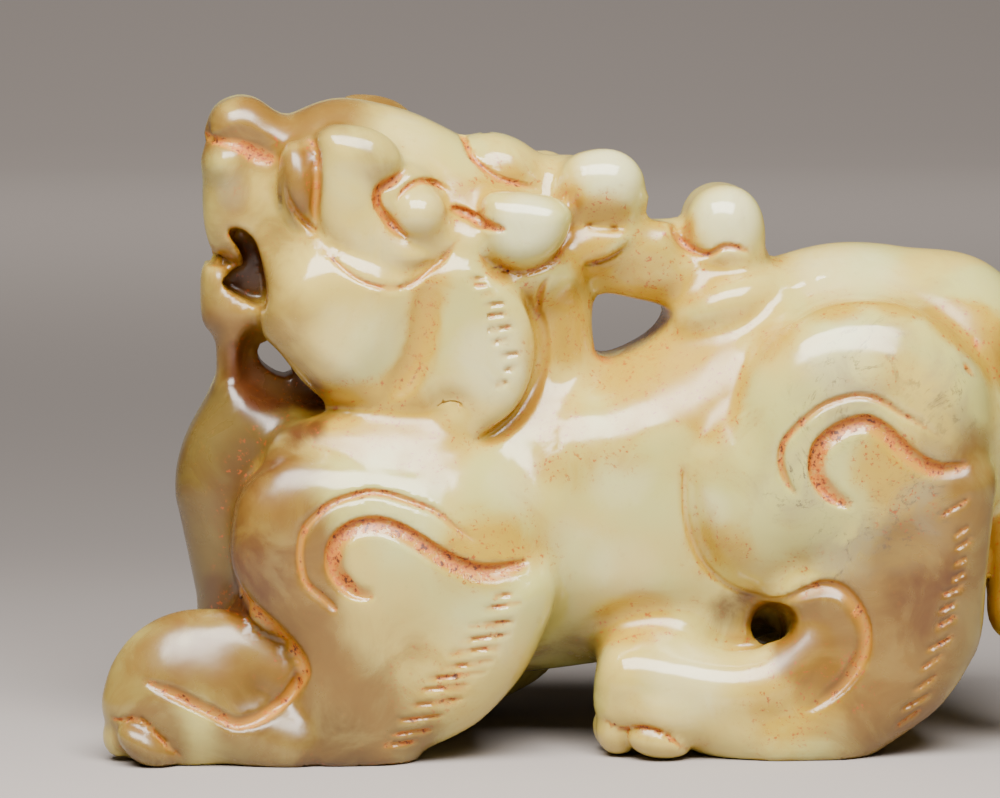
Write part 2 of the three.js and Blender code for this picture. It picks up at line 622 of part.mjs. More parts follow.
function costAt(q, [x, y, z]) {
  const [a, b, c, g, e, f, h, i, j, k] = q;
  const square = a * x * x + e * y * y + i * z * z + 2 * (b * x * y + c * x * z + f * y * z);
  return square + 2 * (g * x + h * y + j * z) + k;
}

function thinned({ points, faces }, budget) {
  const around = points.map(() => new Set());
  const quadric = points.map(() => new Array(10).fill(0));
  faces.forEach((face, id) => {
    for (let s = 0; s < 3; s++) {
      const turned = [0, 1, 2].map((k) => points[face[(s + k) % 3]]);
      const q = quadricOf(...turned);
      q.forEach((v, k) => (quadric[face[s]][k] += v));
      around[face[s]].add(id);
    }
  });
  const heap = [];
  const age = points.map(() => 0);
  const rise = (i) => {
    while (i > 0 && heap[i].cost < heap[(i - 1) >> 1].cost) {
      [heap[i], heap[(i - 1) >> 1]] = [heap[(i - 1) >> 1], heap[i]];
      i = (i - 1) >> 1;
    }
  };
  const take = () => {
    const top = heap[0];
    const last = heap.pop();
    if (!heap.length) return top;
    heap[0] = last;
    for (let i = 0; ; ) {
      let least = i;
      for (const child of [2 * i + 1, 2 * i + 2]) {
        if (child < heap.length && heap[child].cost < heap[least].cost) least = child;
      }
      if (least === i) return top;
      [heap[i], heap[least]] = [heap[least], heap[i]];
      i = least;
    }
  };
  const offer = (a, b) => {
    const q = quadric[a].map((v, k) => v + quadric[b][k]);
    const place = lowest(q);
    heap.push({ a, b, place, cost: costAt(q, place), ages: age[a] + age[b] });
    rise(heap.length - 1);
  };
  const neighbours = (v) => {
    const found = new Set();
    for (const id of around[v]) for (const w of faces[id]) if (w !== v) found.add(w);
    return found;
  };
  const normal = (face, swap, place) => {
    const [a, b, c] = face.map((v) => (v === swap ? place : points[v]));
    const u = b.map((v, k) => v - a[k]);
    const w = c.map((v, k) => v - a[k]);
    return [u[1] * w[2] - u[2] * w[1], u[2] * w[0] - u[0] * w[2], u[0] * w[1] - u[1] * w[0]];
  };
  const keepsItsSide = (v, other, place) => {
    for (const id of around[v]) {
      if (faces[id].includes(other)) continue;
      const before = normal(faces[id], -1);
      const after = normal(faces[id], v, place);
      const dot = before.reduce((sum, n, k) => sum + n * after[k], 0);
      if (dot < LEAST_TURN * Math.hypot(...before) * Math.hypot(...after)) return false;
    }
    return true;
  };

  faces.forEach(([a, b, c]) => {
    for (const [v, w] of [[a, b], [b, c], [c, a]]) if (v < w) offer(v, w);
  });
  let left = faces.length;
  while (left > budget && heap.length) {
    const { a, b, place, ages } = take();
    if (!around[a].size || !around[b].size || ages !== age[a] + age[b]) continue;
    const nearA = neighbours(a);
    if (!nearA.has(b)) continue;
    const nearB = neighbours(b);
    const shared = [...nearB].filter((v) => nearA.has(v)).length;
    if (shared !== 2 || nearA.size + nearB.size < 8) continue;
    if (!keepsItsSide(a, b, place) || !keepsItsSide(b, a, place)) continue;
    for (const id of around[b]) {
      if (faces[id].includes(a)) {
        faces[id].forEach((v) => v !== b && around[v].delete(id));
        faces[id] = null;
        left--;
      } else {
        faces[id] = faces[id].map((v) => (v === b ? a : v));
        around[a].add(id);
      }
    }
    around[b].clear();
    points[a] = place;
    quadric[b].forEach((v, k) => (quadric[a][k] += v));
    age[a] += 1;
    age[b] = -1e9;
    for (const v of neighbours(a)) offer(a, v);
  }
  return { points, faces: faces.filter(Boolean) };
}

// A solid from points and faces, and a mesh from a solid.
const wasm = await Module();
wasm.setup();
function solidFrom({ points, faces }) {
  const used = new Map();
  faces.flat().forEach((v) => used.has(v) || used.set(v, used.size));
  return new wasm.Manifold(
    new wasm.Mesh({
      numProp: 3,
      vertProperties: Float32Array.from([...used.keys()].flatMap((v) => points[v])),
      triVerts: Uint32Array.from(faces.flat().map((v) => used.get(v))),
    }),
  );
}

function meshFrom(solid, name, material) {
  const { vertProperties, triVerts } = solid.getMesh();
  const geometry = new THREE.BufferGeometry();
  geometry.setAttribute("position", new THREE.BufferAttribute(vertProperties, 3));
  geometry.setIndex(new THREE.BufferAttribute(triVerts, 1));
  geometry.computeVertexNormals();
  const mesh = new THREE.Mesh(geometry, material);
  mesh.name = name;
  return mesh;
}

// The block that the soles are ground flat against fills everything below z = 0.
const GRIND = 20;
function floorBlock() {
  const box = new THREE.BoxGeometry(4 * LENGTH, 4 * LENGTH, GRIND).translate(0, 0, -GRIND / 2);
  box.deleteAttribute("normal");
  box.deleteAttribute("uv");
  const { attributes, index } = mergeVertices(box);
  return new wasm.Manifold(
    new wasm.Mesh({
      numProp: 3,
      vertProperties: attributes.position.array,
      triVerts: Uint32Array.from(index.array),
    }),
  );
}

// No vertex is left so close to the sole that the cut would leave a sliver.
const SLIVER = 0.04;
function settled([x, y, z]) {
  const [along, wide] = [LENGTH / DRAWN_LENGTH, WIDTH / DRAWN_WIDTH];
  const level = z * along;
  const height = Math.abs(level) < SLIVER ? -SLIVER : level;
  return [(x - CENTRE[0]) * along, (y - CENTRE[1]) * wide, height];
}

const rough = skin(figure);
const fine = thinned(rough, FACETS);
const carved = solidFrom({ points: fine.points.map(settled), faces: fine.faces });
const PALE_JADE = 0xdccf9e;
const jade = new THREE.MeshStandardMaterial({ color: PALE_JADE, roughness: 0.22, metalness: 0 });

const qilin = new THREE.Group();
qilin.add(meshFrom(carved.subtract(floorBlock()), "qilin", jade));
export default qilin;
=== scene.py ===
from math import cos, radians, sin

import bmesh
import bpy
import numpy as np
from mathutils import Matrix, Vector


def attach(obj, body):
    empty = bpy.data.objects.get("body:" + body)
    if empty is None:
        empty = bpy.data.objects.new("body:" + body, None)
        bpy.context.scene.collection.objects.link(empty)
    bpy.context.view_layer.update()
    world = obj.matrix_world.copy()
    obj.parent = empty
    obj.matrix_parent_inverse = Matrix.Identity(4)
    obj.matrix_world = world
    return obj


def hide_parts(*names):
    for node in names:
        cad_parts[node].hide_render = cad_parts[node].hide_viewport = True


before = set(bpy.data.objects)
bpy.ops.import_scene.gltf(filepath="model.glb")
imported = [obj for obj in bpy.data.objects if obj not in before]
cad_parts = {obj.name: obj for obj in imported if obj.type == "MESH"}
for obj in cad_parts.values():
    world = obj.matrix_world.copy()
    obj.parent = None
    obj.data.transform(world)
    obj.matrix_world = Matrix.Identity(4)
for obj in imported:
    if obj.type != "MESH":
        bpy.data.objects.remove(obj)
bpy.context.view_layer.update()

MM = 0.001
CENTRE = np.array([2.6, 0.0, 0.0])  # middle of the drawn figure's box, which stands over the origin
ARM_SETBACK = 8.0  # the far foreleg stands this much further back than the near one
LEG_SETBACK = 3.0  # and the far hind leg this much
HEAD_SETBACK = 2.5  # and the far side of the head this much
HORN_DROP = 1.4  # the horn's far side hangs this much lower
HEAD_ROLL = radians(7)  # the head leans over towards the left flank
HEAD_AXIS = 52.0  # height that it leans about
TUNNEL_HALF = 30.0  # openings that go right through are cut this far to each side
FAR = 1e3  # further than anything on the figure
TINY = 1e-9  # keeps a division by zero away


# Forms as fields of distance.


def rounded(points, closed=True, spans=4):
    """A smooth curve through a few points, in short spans."""
    points = np.asarray(points, float)
    count = len(points)
    start = np.arange(count if closed else count - 1)
    a, b, c, d = (
        points[(start + k) % count if closed else np.clip(start + k, 0, count - 1)] for k in (-1, 0, 1, 2)
    )
    rows = [
        b + t * (c - a + t * (2 * a - 5 * b + 4 * c - d + t * (3 * (b - c) + d - a))) / 2
        for t in np.arange(spans) / spans
    ]
    curve = np.stack(rows, 1).reshape(-1, points.shape[1])
    return curve if closed else np.vstack([curve, points[-1:]])


class Form:
    """A distance or a depth that is worked out at points, and the box outside which it doesn't matter."""

    def __init__(self, corners, margin, at):
        corners = np.asarray(corners, float)
        self.low = corners.min(0) - margin
        self.high = corners.max(0) + margin
        self.at = at

    def away(self, p):
        gap = np.maximum(np.maximum(self.low - p, p - self.high), 0)
        return np.sqrt((gap * gap).sum(1))


def oval(q, half):
    """Near enough the distance to an oval of those half sizes about zero."""
    q = q / half
    k = np.sqrt((q * q).sum(1))
    slope = np.sqrt(((q / half) ** 2).sum(1))
    return k * (k - 1) / np.maximum(slope, TINY)


def egg(centre, half, turn=0.0):
    """An egg, turned in the side view with its front end up."""
    c, s = cos(radians(turn)), sin(radians(turn))
    centre, half = np.array(centre, float), np.array(half, float)

    def at(p):
        x, y, z = (p - centre).T
        return oval(np.stack([c * x - s * z, y, s * x + c * z], 1), half)

    return Form([centre], half.max(), at)


def limb(points):
    """Points (x, y, z, radius) joined by a smooth tapering tube."""
    path = rounded(points, closed=False)

    def at(p):
        best = np.full(len(p), FAR)
        for a, b in zip(path[:-1], path[1:]):
            run = b[:3] - a[:3]
            t = np.clip((p - a[:3]) @ run / (run @ run), 0, 1)
            off = p - a[:3] - t[:, None] * run
            best = np.minimum(best, np.sqrt((off * off).sum(1)) - a[3] - t * (b[3] - a[3]))
        return best

    return Form(path[:, :3], path[:, 3].max(), at)


class Chart:
    """Signed distance to a closed outline, read off an even chart of it."""

    PITCH = 0.15
    MARGIN = 5.0

    def __init__(self, curve):
        self.low = curve.min(0) - self.MARGIN
        size = np.ceil((curve.max(0) + self.MARGIN - self.low) / self.PITCH).astype(int) + 2
        x = self.low[0] + self.PITCH * np.arange(size[0])[:, None]
        z = self.low[1] + self.PITCH * np.arange(size[1])[None, :]
        best = np.full(size, FAR)
        inside = np.zeros(size, bool)
        for (ax, az), (bx, bz) in zip(curve, np.roll(curve, -1, 0)):
            ex, ez = bx - ax, bz - az
            t = np.clip(((x - ax) * ex + (z - az) * ez) / (ex * ex + ez * ez), 0, 1)
            best = np.minimum(best, (x - ax - t * ex) ** 2 + (z - az - t * ez) ** 2)
            if ez:
                inside ^= ((az > z) != (bz > z)) & (x < ax + (z - az) / ez * ex)
        self.value = np.where(inside, -1, 1) * np.sqrt(best)

    def at(self, x, z):
        top = np.array(self.value.shape) - 2
        u = np.clip((x - self.low[0]) / self.PITCH, 0, top[0])
        v = np.clip((z - self.low[1]) / self.PITCH, 0, top[1])
        i, j = u.astype(int), v.astype(int)
        u, v = u - i, v - j
        near = self.value[i, j] * (1 - v) + self.value[i, j + 1] * v
        far = self.value[i + 1, j] * (1 - v) + self.value[i + 1, j + 1] * v
        return near * (1 - u) + far * u


def slab(points, inner, outer, roll, drop=None):
    """A cushion-shaped slab: a side-view outline between two y values, whose faces roll over into its edge
    over `roll` mm of the outline and `drop` mm of its thickness."""
    curve = rounded(points)
    chart = Chart(curve)
    middle, half = (inner + outer) / 2, abs(outer - inner) / 2
    stretch = roll / (drop or roll)

    def at(p):
        u = chart.at(p[:, 0], p[:, 2]) + roll
        v = (np.abs(p[:, 1] - middle) - half) * stretch + roll
        reach = np.hypot(u, v)
        corner = (reach - roll) * reach / np.maximum(np.hypot(u, v * stretch), TINY)
        flat = np.where(v <= 0, u - roll, (v - roll) / stretch)
        deep = np.maximum(u - roll, (v - roll) / stretch)
        return np.where((u <= 0) & (v <= 0), deep, np.where((u > 0) & (v > 0), corner, flat))

    box = [(x, middle + side * half, z) for x, z in curve for side in (-1, 1)]
    return Form(box, 0, at)


def trunk(stations):
    """A trunk that runs along x: stations (x, top z, underside z, half width), with an oval section."""
    path = rounded(stations, closed=False, spans=8)

    def at(p):
        top, under, wide = (np.interp(p[:, 0], path[:, 0], path[:, k]) for k in (1, 2, 3))
        tall = (top - under) / 2
        half = np.stack([wide, tall], 1)
        section = oval(np.stack([p[:, 1], p[:, 2] - under - tall], 1), half)
        return np.maximum(section, np.maximum(path[0, 0] - p[:, 0], p[:, 0] - path[-1, 0]))

    box = [(x, side * wide, z) for x, top, under, wide in path for z in (top, under) for side in (-1, 1)]
    return Form(box, 0, at)


def seen_from(form, moved):
    """The form as it lies where `moved` carries points back onto it."""
    corners = np.array([(x, y, z) for x in (0, 1) for y in (0, 1) for z in (0, 1)])
    corners = form.low + corners * (form.high - form.low)
    return Form(moved(corners, True), 0, lambda p: form.at(moved(p, False)))


def across(form, back=0.0, drop=0.0):
    """The same form on the far side, `back` mm further back and `drop` mm lower."""
    step = np.array([back, 0, -drop])

    def moved(p, outward):
        return p * [1, -1, 1] + (step if outward else -step)

    return seen_from(form, moved)


def across_head(form):
    """The same form on the far side of the head, further back, whose middle plane leans."""
    c, s = cos(2 * HEAD_ROLL), sin(2 * HEAD_ROLL)
    turn = np.array([[1, 0, 0], [0, -c, -s], [0, -s, c]])
    pivot = np.array([0, 0, HEAD_AXIS])

    def moved(p, outward):
        return (p - pivot) @ turn.T + pivot + [HEAD_SETBACK if outward else -HEAD_SETBACK, 0, 0]

    return seen_from(form, moved)


def across_arm(form):
    return across(form, ARM_SETBACK)


def across_leg(form):
    return across(form, LEG_SETBACK)


def across_horn(form):
    return across(form, 0, HORN_DROP)


# Masses and hollows, in the order that they are joined and cut. Each step is a form, the radius over which
# it flows into its neighbours, and 1 to join or -1 to cut.

steps = []


def join(form, blend, mirrored=None):
    steps.append((form, blend, 1))
    if mirrored:
        steps.append((mirrored(form), blend, 1))


def cut(form, blend, mirrored=None):
    steps.append((form, blend, -1))
    if mirrored:
        steps.append((mirrored(form), blend, -1))


def body():
    join(
        trunk([
            (-31, 31, 12, 7), (-26, 35, 9, 10), (-18, 38, 7, 12.5), (-7, 39.5, 6.3, 13.5),
            (4, 40, 7.4, 13), (11, 43.2, 8.2, 12.8), (17, 46.6, 9, 13), (23, 49.4, 10.6, 13.6),
            (30, 50.7, 14.5, 14.3), (38, 49.6, 17, 13.6), (44, 46.2, 20, 11), (48, 41.5, 24, 7.5),
        ]),
        2,
    )
    join(egg((41, 0, 34), (9.8, 13.2, 15.4)), 3)
    flank = [
        (-4, 14), (-5, 30), (-1, 35), (6, 36.6), (12, 39), (18, 42.4), (24, 44), (27, 30), (24, 14),
    ]
    join(slab(flank, -13, 13, 6.5, 7), 2.5)
    chest = [
        (-34.4, 38.2), (-36.1, 35), (-38.3, 30.8), (-39.3, 26.4), (-38.6, 22.3), (-37.2, 15.2),
        (-36.4, 10), (-29, 9), (-22, 14), (-24, 33), (-30, 36.6), (-32.2, 37.6),
    ]
    join(slab(chest, -7.5, 7.5, 5), 1.5)


def skull():
    join(limb([(-6, 0, 30, 9.5), (-4, 0, 37, 8.6), (-4.5, 0, 45, 8.6), (-6, 0, 52, 7.5)]), 3)
    vault = [
        (-29.6, 62.2), (-25.9, 64.6), (-21.8, 65.6), (-15.7, 64.4), (-10.8, 62.2), (-6.2, 59.4),
        (-2.6, 56), (-2.6, 50.3), (-8, 43), (-16, 40), (-25, 42), (-29, 46), (-31, 51), (-31.5, 57.5),
    ]
    join(slab(vault, -10, 10, 9, 8), 1.5)
    muzzle = [
        (-30, 63.4), (-33, 63.8), (-35.2, 62.6), (-36.1, 60), (-36.3, 56.4), (-36.2, 53.2),
        (-35.5, 50.6), (-34.4, 49.6), (-29, 46), (-25, 48), (-24, 60),
    ]
    join(slab(muzzle, -6.6, 6.6, 4.2, 4.6), 2)
    chin = [
        (-35.4, 49.6), (-36.3, 48.6), (-36.6, 46.6), (-36.4, 43.2), (-35.1, 41), (-34.7, 37),
        (-31.8, 36.6), (-31.7, 40), (-29.6, 41.8), (-26, 41), (-24, 45), (-26, 48), (-31, 49),
    ]
    join(slab(chin, -6.2, 6.2, 3.4, 4.4), 0.5)
    nose = [
        (-35.6, 61.8), (-35.7, 63.2), (-34.8, 65), (-32.8, 65.9), (-31, 65.7), (-29.4, 64.7),
        (-27.8, 63.2), (-26.4, 61), (-29, 60), (-32.5, 60.8),
    ]
    join(egg((-33.2, 0, 62.6), (2, 4, 2.2)), 1)
    join(slab(nose, -6.4, 6.4, 2.8, 3.4), 1.2)
    join(egg((-33.7, -3.6, 59.3), (2.4, 3.5, 2.1), 10), 1.4, across_head)
    cut(egg((-29.9, -10.4, 58.5), (3.2, 3.6, 3.4), 18), 2.6, across_head)
    cut(egg((-36.2, -3.4, 62.4), (1, 1, 0.7), 20), 0.8)
    cut(egg((-36.2, 0.9, 62.9), (1, 1, 0.7), 20), 0.8)
    join(egg((-22.6, -5.2, 47), (7.4, 7.6, 7)), 3.5, across_head)


def cheek_and_lock():
    lock = [
        (-9.8, 49.7), (-8.4, 48.8), (-5.8, 47.2), (-4, 44.6), (-3.2, 41.8), (-3.4, 39), (-4.6, 35.6),
        (-6.6, 33.6), (-8.6, 32.6), (-9.5, 32.7), (-9.9, 34.7), (-10.7, 35.8), (-11.9, 36.1),
        (-13, 35.6), (-14.2, 34.6), (-18, 34.5), (-23, 36.8), (-24, 42), (-20, 47), (-13, 49.8),
    ]
    join(slab(lock, -5, -12.9, 2, 1.8), 1, across_head)
    join(egg((-11.6, -9.9, 34), (2.6, 2.9, 2.3)), 2)
    cheek = [
        (-30.4, 42.4), (-29.4, 40.4), (-27.7, 38.3), (-26, 36.6), (-24.4, 35.6), (-22.4, 35.4),
        (-20, 36.3), (-17.8, 38), (-16.1, 40.4), (-15, 43.4), (-14.6, 46.5), (-15.2, 49.5), (-19, 52),
        (-25, 52), (-29, 49.4), (-30.6, 45.8),
    ]
    join(slab(cheek, -3, -14.2, 5.2, 5.4), 1.4, across_head)
    throat = [(-33, 42), (-27, 43), (-23, 40), (-23, 34), (-27, 34), (-32, 36)]
    join(slab(throat, -3.4, 3.4, 1.5), 1)


def face():
    join(egg((-24.8, -7.6, 56.6), (2.4, 3, 5), -6), 1.6, across_head)
    join(egg((-26.7, -8.2, 57.2), (2, 3.1, 4.5), -8), 0.8, across_head)
    brow = [
        (-25, 61.2), (-24.6, 62.7), (-23, 63.4), (-20.3, 62.9), (-18, 61.8), (-16.6, 60.2),
        (-16.8, 58.8), (-17.6, 57.6), (-18.2, 56.4), (-17.8, 55), (-16.8, 53.6), (-15, 52.4),
        (-13.6, 51.2), (-13.3, 49.8), (-15.7, 48), (-17.7, 47.6), (-19.7, 48), (-21.5, 49),
        (-23, 50.4), (-24.3, 52.3), (-24.9, 55.6),
    ]
    join(egg((-16.8, -9.3, 56.2), (3.8, 3.2, 3.6)), 1.2, across_head)
    join(slab(brow, -6, -13.2, 3, 2.6), 0.7, across_head)
    join(egg((-20.6, -10.4, 60.2), (3.9, 3, 2.9), 12), 0.8, across_head)
    join(egg((-14.6, -9, 52.6), (3.2, 3.6, 3.4)), 0.8, across_head)
    join(egg((-14.9, -10.7, 54.4), (2.8, 3.3, 2.8)), 0.7, across_head)
    join(egg((-10.2, -9, 51), (3.8, 2.9, 3.4), 20), 1.8, across_head)
    ear = [
        (-8.4, 56), (-6, 56.7), (-2.9, 56.4), (-0.9, 55.9), (0.3, 54.9), (0.5, 53.6), (-0.4, 51.4),
        (-2.2, 49.7), (-4.9, 48.9), (-7.5, 49.8), (-8.8, 52),
    ]
    join(egg((-3.6, -6.2, 48.4), (5.4, 4.8, 3.8)), 2, across_head)
    join(slab(ear, -6, -13.2, 3, 3), 0.7, across_head)


def horn():
    join(egg((-5.6, -0.5, 59), (4.6, 5.4, 2.8), 24), 1.4)
    join(egg((0.5, 0, 56.6), (6, 4.8, 3.2)), 1.5)
    column = [
        (-0.6, 56), (8, 56), (8.4, 54.4), (9.3, 53.3), (11.4, 52.6), (11.4, 48), (1, 48), (-1.6, 50),
    ]
    join(slab(column, -0.5, -6.8, 2.8, 2.4), 1.6, across_horn)
    first_curl = [
        (0, 58.7), (1.2, 59.9), (2.6, 60.4), (4.2, 60.6), (5.7, 60.4), (7, 59.7), (8, 58.5),
        (8.4, 57.2), (8.4, 55.6), (7.6, 54), (5.6, 53), (3, 52.9), (0.8, 53.8), (-0.4, 56),
    ]
    join(slab(first_curl, -0.5, -8.4, 3.6, 3.4), 1.2, across_horn)
    join(egg((-1.2, 5, 57.6), (3, 3.4, 2.4)), 1)
    tier = [
        (0, 50.4), (1.2, 51.8), (2.8, 52.4), (5.6, 52.4), (6.6, 51.8), (5.6, 50.4), (3.8, 49.5),
        (1.4, 49.2),
    ]
    join(slab(tier, -5, -7.7, 0.7, 0.8), 0.8, across)
    shaft = [
        (-2, 0, 48.5, 5.5), (4.5, 0, 49.2, 4.4), (9.5, 0, 48.8, 4.4), (14, 0, 48.6, 4.6),
        (18, 0, 48.2, 3.8),
    ]
    join(limb(shaft), 0.8)
    join(egg((10, 0, 48), (9, 6.4, 3.8)), 1)
    join(egg((16.5, -3.6, 45), (6, 5.4, 3), -22), 2.5, across)
    second_curl = [
        (12.9, 53.6), (13.8, 55.5), (15.2, 56.5), (16.9, 56.8), (18.8, 56.3), (20.2, 54.9),
        (20.9, 52.9), (21, 50.5), (20.7, 48), (18, 46.4), (14, 48), (12.6, 51),
    ]
    join(slab(second_curl, -6.6, 6.6, 4, 4), 1)


def forelegs():
    join(egg((-17, -10, 20.6), (15.5, 8.4, 12), -6), 3, across_arm)
    plate = [
        (-33.6, 23), (-33.5, 18.6), (-31.6, 14.2), (-28, 10.5), (-27, -2.4), (-17.6, -2.4),
        (-14.7, 0.9), (-11.9, 2.3), (-9, 4), (-6.1, 6.9), (-4.2, 9.5), (-2.7, 12.6), (-1.8, 15),
        (-1.6, 17.4), (-2.7, 19.4), (-5, 20.4), (-10, 24), (-18, 29), (-27, 30.6), (-32.2, 27.6),
    ]
    join(slab(plate, -7, -18.4, 6, 3.6), 2.4, across_arm)
    paw = [
        (-36.4, 15), (-39.6, 14.4), (-42.9, 12.5), (-45.2, 10), (-46.4, 7), (-46, 4.4), (-43.6, 2),
        (-39.4, 1.6), (-36.8, 0.7), (-34, -0.4), (-30, -2), (-24, -2), (-25, 8), (-28.4, 12.4),
        (-32.6, 14.8),
    ]
    join(slab(paw, -8.2, -16.2, 4.5, 4), 0.8, across_arm)
    join(egg((-37.6, -11.9, 6), (8.7, 6.2, 8.8), -6), 0.8, across_arm)
    join(egg((-31, -8.6, 13), (3.4, 2.6, 3)), 0.8, across_arm)
    join(egg((-20, -9.2, 30.8), (9.5, 5.4, 3.8)), 2.5, across)
    lower_roll = [
        (-43.4, -12.8, 5.4, 3.2), (-40, -13.6, 5.3, 3.7), (-36.6, -13.9, 4.7, 4),
        (-33.4, -14, 3.6, 4.2), (-28, -13.8, 1.4, 4.6),
    ]
    join(limb(lower_roll), 0.8, across_arm)
    join(egg((-42.2, -15.6, 1.9), (3.4, 2.6, 1.8), 34), 0.4, across_arm)
    join(egg((-44.6, -12.4, 2.9), (2, 2.4, 2.6), 20), 0.5, across_arm)
    join(egg((-43.4, -9.4, 2.3), (2.4, 2.2, 2.2), 20), 0.5, across_arm)


def hind_legs():
    web = [(9, 8), (12, 15.5), (18, 20), (25, 19), (28, 10), (20, 7)]
    join(slab(web, -5.8, -11.4, 3), 3, across_leg)
    join(egg((18.9, -11.2, 26), (7, 6, 10.2), -10), 1, across_leg)
    haunch = [
        (16.6, 32), (17.4, 37), (20.4, 42), (25, 45.2), (30.4, 46), (36, 44.6), (40.6, 40.6),
        (42.6, 35), (42, 27), (36, 20), (26, 17.6), (20, 21), (17.4, 26.4),
    ]
    join(slab(haunch, -4, -19, 10, 6.4), 1.4, across_leg)
    shank = [
        (24, 18), (27, 26), (33, 29), (39.2, 30.4), (41.8, 29.6), (42.9, 27.8), (42.5, 23.7),
        (42, 18), (41.5, 12), (40.3, 9.1), (38.6, 6.4), (36.6, 4.2), (33.4, 1.9), (30, -0.4),
        (28, -2.4), (18, -2.4), (19, 5), (24, 11),
    ]
    join(slab(shank, -7.5, -18.4, 5, 3.4), 1.5, across_leg)
    paw = [
        (2.7, 8), (2.9, 4.2), (5, 2.2), (10, 1.7), (13, 0.9), (16, -0.1), (20, -2), (28, -2), (29, 6),
        (25.6, 12.4), (22.6, 11.4), (19, 10), (12, 11), (7, 11.6), (4, 10.8),
    ]
    join(slab(paw, -9, -17.2, 4, 4), 0.8, across_leg)
    ankle = [
        (7, -13.6, 7.6, 3.8), (15, -14, 6.2, 4.2), (21, -14, 7, 4.2), (24.8, -13.8, 10.4, 4),
        (25.6, -13.4, 14, 3.2),
    ]
    join(limb(ankle), 0.8, across_leg)
    lower_roll = [(6.2, -13.4, 5.2, 3.3), (11, -13.9, 5, 3.7), (14.6, -13.9, 4, 4), (20, -13.8, 2, 4.4)]
    join(limb(lower_roll), 0.8, across_leg)
    join(egg((24, -12.6, 16.4), (4, 4, 3)), 2, across_leg)
    join(egg((9.5, -8.4, 10.5), (6.5, 5.4, 4)), 2.5, across_leg)
    join(egg((9.6, -15.4, 4.5), (5.2, 2.9, 3), 14), 0.8, across_leg)
    join(egg((8.9, -15.8, 1.9), (3.3, 2.5, 1.8), 10), 0.4, across_leg)
    join(egg((5, -13.4, 2.6), (2.2, 2.6, 2.5)), 0.5, across_leg)
    join(egg((4.8, -10.8, 2.5), (2.1, 2.3, 2.4)), 0.5, across_leg)


def tail():
    curve = [
        (42, 0, 40, 5), (46.6, -1.5, 34, 4.6), (47.2, -5, 27, 4.4), (46.8, -8, 20, 4),
        (46.4, -9.4, 15, 3.2),
    ]
    join(limb(curve), 1)
    join(egg((47, -9.8, 13.8), (3.9, 3.6, 3.6)), 0.5)


def hollows():
    horn_gap = [(3.6, 45.4), (7.6, 45.2), (11.2, 43.8), (9.2, 41.1), (5.4, 39.3), (3.5, 40.2)]
    cut(slab(horn_gap, -TUNNEL_HALF, TUNNEL_HALF, 1), 0.6)
    beard_hollow = [
        (-31.7, 41.3), (-30.2, 41), (-28.4, 39), (-26.2, 36.8), (-25.2, 35.6), (-27.4, 35.2),
        (-30.4, 36), (-32, 38), (-32.2, 40),
    ]
    cut(slab(beard_hollow, -TUNNEL_HALF, -4, 1.6), 1.6, across_head)
    beard_hole = [
        (-30, 41.2), (-30.8, 40.4), (-30.6, 39), (-29.4, 37.9), (-28.2, 37.4), (-27.2, 37.7),
        (-27.8, 39), (-28.8, 40.4),
    ]
    cut(slab(beard_hole, -TUNNEL_HALF, TUNNEL_HALF, 0.6), 0.8)
    mouth = [
        (-33.7, 52.6), (-32.6, 52.8), (-31.2, 51.7), (-30.4, 49.4), (-29.9, 46.3), (-30.4, 44.9),
        (-32.6, 45.7), (-34.4, 47.1), (-33.6, 48.3), (-32.3, 49.1), (-32.7, 50.6), (-33.4, 51.6),
    ]
    cut(slab(mouth, -TUNNEL_HALF, TUNNEL_HALF, 0.5), 0.5)
    lip_slot = [(-38, 50.9), (-36, 50.2), (-34, 49.3), (-34.2, 48.9), (-36, 49.1), (-38, 49)]
    cut(slab(lip_slot, -TUNNEL_HALF, TUNNEL_HALF, 0.3), 0.6)
    join(egg((-31, 0, 49), (4.4, 1.5, 6)), 0.5)
    knee_hole = [(20.9, -22, 13.8, 1.9), (20.8, -12, 13.2, 1.9), (20, -5, 9.5, 2.2)]
    cut(limb(knee_hole), 0.8, across_leg)


for carve in (body, skull, cheek_and_lock, face, horn, forelegs, hind_legs, tail, hollows):
    carve()
GROUND = [(-60, -30, -10), (60, 30, 0)]  # the feet are ground flat down to it
cut(Form(GROUND, 0, lambda p: p[:, 2]), 0.5)


def figure(p, near_steps):
    """Signed distance to the smooth figure, from the steps that matter near the points."""
    d = np.full(len(p), FAR)
    for form, blend, sign in near_steps:
        near = form.away(p) < (d + blend if sign > 0 else blend - d)
        if near.any():
            a, b = sign * d[near], form.at(p[near])
            h = np.maximum(blend - np.abs(a - b), 0) / blend
            d[near] = sign * (np.minimum(a, b) - h * h * blend / 4)
    return d


# Carved lines, drawn in the side view. Each is a form that gives a depth, and how red its residue is.

lines = []
PAST_FLANK = -30.0  # a place nearer than the near flank
TIP_WIDTH = 0.55  # share of its width that a line keeps at its tips


def profile(r):
    """Section of a wheel-cut line: 1 in the middle, rounding up to 0 at its edge."""
    return np.maximum(1 - r * r, 0) ** 1.5


